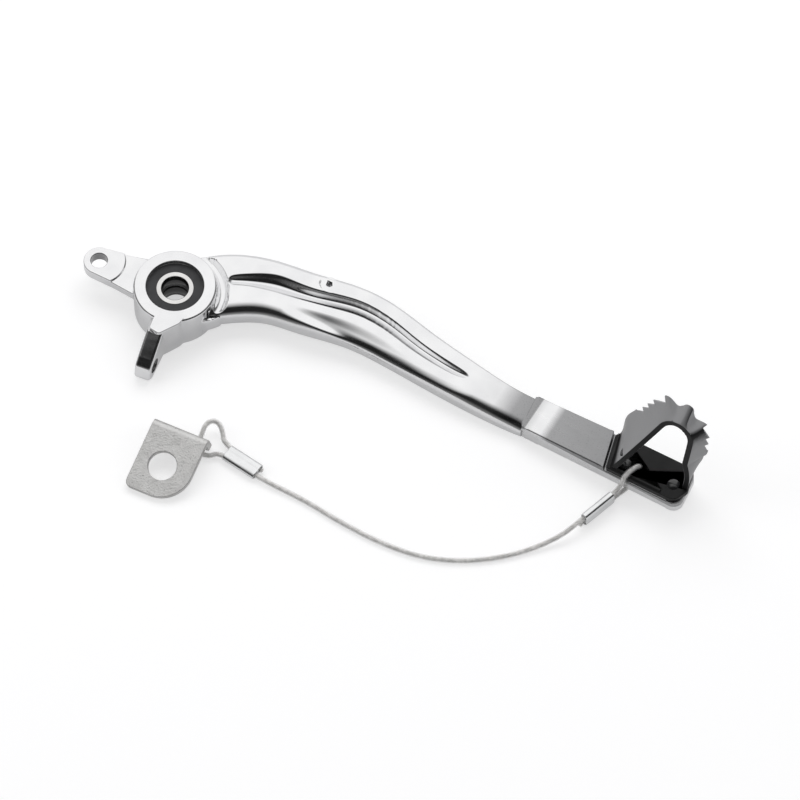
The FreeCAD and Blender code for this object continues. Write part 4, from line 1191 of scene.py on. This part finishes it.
    def sweep(self, name: str, line: list[Vector], tree: NodeTree, sizes: dict[str, float]) -> Object:
        """Run a tree over the line and keep its plain mesh.

        Args:
            name: The piece's name.
            line: The rope's line.
            tree: The node tree.
            sizes: Values of the tree's named inputs.

        Returns:
            The piece.
        """
        wire = bpy.data.meshes.new("rope_line")
        wire.from_pydata([tuple(point) for point in line], [(i, i + 1) for i in range(len(line) - 1)], [])
        holder = self.link("rope_line", wire)
        modifier = holder.modifiers.new("sweep", "NODES")
        modifier.node_group = tree
        for item in tree.interface.items_tree:
            if item.item_type == "SOCKET" and item.in_out == "INPUT" and item.name in sizes:
                modifier[item.identifier] = sizes[item.name]
        return self.link(name, self.evaluated(holder))

    def build(self) -> Object:
        """Build the rope: strands, jacket, and the sleeves and lug on it."""
        line = self.line()
        strand_radius = self.core_radius / 3
        sizes = {"Strand Radius": strand_radius, "Lay Radius": self.core_radius - strand_radius, "Pitch": self.pitch,
                 "Strand Count": self.strands, "Sides": self.strand_sides}
        strands = self.sweep("rope_strands", line, self.tree("lay_strands", STRAND_STEEL.material(), True), sizes)
        sizes = {"Strand Radius": self.radius, "Sides": self.sides}
        jacket = self.sweep("rope_jacket", line, self.tree("draw_jacket", ClearCoat().material(), False), sizes)
        for piece in (strands, jacket):
            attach(piece, "pedal")
        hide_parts("safety_cable")
        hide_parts("safety_cable")
        pressed = SLEEVE_METAL.material()
        heading = math.degrees(math.atan2(self.sleeve_axis[1], self.sleeve_axis[0]))
        front = Sleeve("front_ferrule", (*self.sleeve_front[:2], self.sleeve_rise), heading, True)
        rear = Sleeve("rear_ferrule", *self.rear_sleeve, False)
        fittings = [front.build(pressed), rear.build(pressed)]
        lug = self.merged("anchor_bracket", "bent_lug", self.lug_edge)
        self.dress(lug, BLASTED.material())
        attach(lug, "pedal")
        return jacket


@dataclass
class Studio:
    """Pale floor, soft lamps and the camera."""

    aim: Point = (0.0999, -0.0482, 0.0)
    frame_width: float = 0.354
    elevation: float = 60.0
    lens: float = 300.0
    sensor: float = 36.0
    view_reach: float = 50.0
    floor_size: float = 6.0
    floor_gap: float = 0.05 * MM
    floor_colour: tuple[float, ...] = (0.9, 0.9, 0.9, 1.0)
    floor_lift: float = 0.4
    floor_glow: float = 1.4
    floor_mirror: float = 0.62
    room_colour: Colour = (0.42, 0.42, 0.43)
    room_fall: Range = (-0.4, -0.02)
    room_dark: float = 0.012
    haze: float = 0.3
    haze_height: float = 0.55
    room_sides: Range = (0.5, 0.8)
    side_share: float = 0.12
    lamps: tuple[tuple[str, Point, Range, float], ...] = (
        ("back_box", (0.1, 1.0, 1.5), (1.9, 1.1), 2.4),
        ("left_box", (-1.5, 0.0, 0.9), (0.9, 1.2), 1.45),
        ("right_box", (1.6, -0.1, 0.8), (0.6, 1.2), 1.1),
    )

    def camera(self) -> None:
        """Set the camera at the photograph's angle."""
        data = bpy.data.cameras.new("camera")
        data.lens = self.lens
        data.sensor_width = self.sensor
        data.clip_end = self.view_reach
        distance = self.frame_width * self.lens / self.sensor
        rise = math.radians(self.elevation)
        camera = Piece.link("camera", data)
        camera.location = Vector(self.aim) + distance * Vector((0, -math.cos(rise), math.sin(rise)))
        camera.rotation_euler = (math.radians(90 - self.elevation), 0, 0)
        bpy.context.scene.camera = camera

    def floor(self) -> None:
        """Lay the pale floor, white to the camera but for the shadows."""
        shader = Shader("pale_floor")
        rays = shader.add("ShaderNodeLightPath").outputs
        seen = shader.math("MAXIMUM", rays["Is Camera Ray"], rays["Is Glossy Ray"])
        seen = shader.math("MAXIMUM", seen, rays["Is Transmission Ray"])
        level = shader.span(rays["Is Glossy Ray"], 0.0, 1.0, self.floor_glow, self.floor_mirror)
        plain = shader.add("ShaderNodeBsdfDiffuse", {"Color": self.floor_colour}).outputs[0]
        glow = shader.add("ShaderNodeEmission", {"Color": (1.0, 1.0, 1.0, 1.0), "Strength": level}).outputs[0]
        lift = shader.math("MULTIPLY", seen, self.floor_lift)
        mixed = shader.add("ShaderNodeMixShader", {0: lift, 1: plain, 2: glow})
        half = self.floor_size / 2
        mesh = bpy.data.meshes.new("floor")
        plan = ((-half, -half), (half, -half), (half, half), (-half, half))
        mesh.from_pydata([(x, y, GROUND - self.floor_gap) for x, y in plan], [], [(0, 1, 2, 3)])
        floor = Piece.link("floor", mesh)
        Piece.dress(floor, shader.finish(mixed.outputs[0]))

    def lamp(self, name: str, place: Point, size: Range, radiance: float) -> None:
        """Hang one soft lamp, facing the object.

        Args:
            name: The lamp's name.
            place: Where it hangs, in metres.
            size: Its width and depth.
            radiance: How bright its face looks, where 1 is white.
        """
        data = bpy.data.lights.new(name, "AREA")
        data.shape = "RECTANGLE"
        data.size, data.size_y = size
        data.energy = radiance * math.pi * size[0] * size[1]
        lamp = Piece.link(name, data)
        lamp.location = place
        lamp.visible_glossy = False
        lamp.rotation_euler = (Vector(place) - Vector(self.aim)).to_track_quat("Z", "Y").to_euler()

    def world(self) -> None:
        """A soft room: white behind the object, bright above and behind it, dark on the camera's side."""
        world = bpy.data.worlds.new("studio")
        world.use_nodes = True
        bpy.context.scene.world = world
        nodes = Nodes(world.node_tree)
        rays = nodes.add("ShaderNodeLightPath").outputs
        ahead = nodes.add("ShaderNodeNewGeometry").outputs["Position"]
        haze = nodes.span(nodes.axis(ahead, "Z"), 0.0, self.haze_height, self.haze, self.room_dark)
        fall = nodes.share(nodes.axis(ahead, "Y"), *self.room_fall)
        glow = nodes.math("ADD", nodes.math("MULTIPLY", nodes.math("SUBTRACT", 1.0, fall), haze), fall)
        side = nodes.math("ABSOLUTE", nodes.axis(ahead, "X"))
        glow = nodes.math("MULTIPLY", glow, nodes.span(side, *self.room_sides, 1.0, self.side_share))
        room = nodes.add("ShaderNodeCombineColor", {0: glow, 1: glow, 2: glow}).outputs[0]
        lit = nodes.mix(rays["Is Glossy Ray"], self.room_colour, room)
        seen = nodes.mix(rays["Is Camera Ray"], lit, (1.0, 1.0, 1.0))
        back = nodes.add("ShaderNodeBackground", {"Color": seen})
        nodes.add("ShaderNodeOutputWorld", {"Surface": back.outputs[0]})

    def build(self) -> None:
        """Set up the whole studio."""
        self.camera()
        self.floor()
        self.world()
        for lamp in self.lamps:
            self.lamp(*lamp)
        bpy.context.scene.view_settings.view_transform = "Standard"


def main() -> None:
    """Build the pedal in order."""
    logging.basicConfig(level=logging.INFO, format="%(message)s")
    Studio().build()
    for part in (SafetyRope(), PedalArm(), PivotBearings(), ToeTip()):
        result = part.build()
        LOG.info("%s: %s", type(part).__name__, getattr(result, "name", result))


if __name__ == "__main__":
    main()
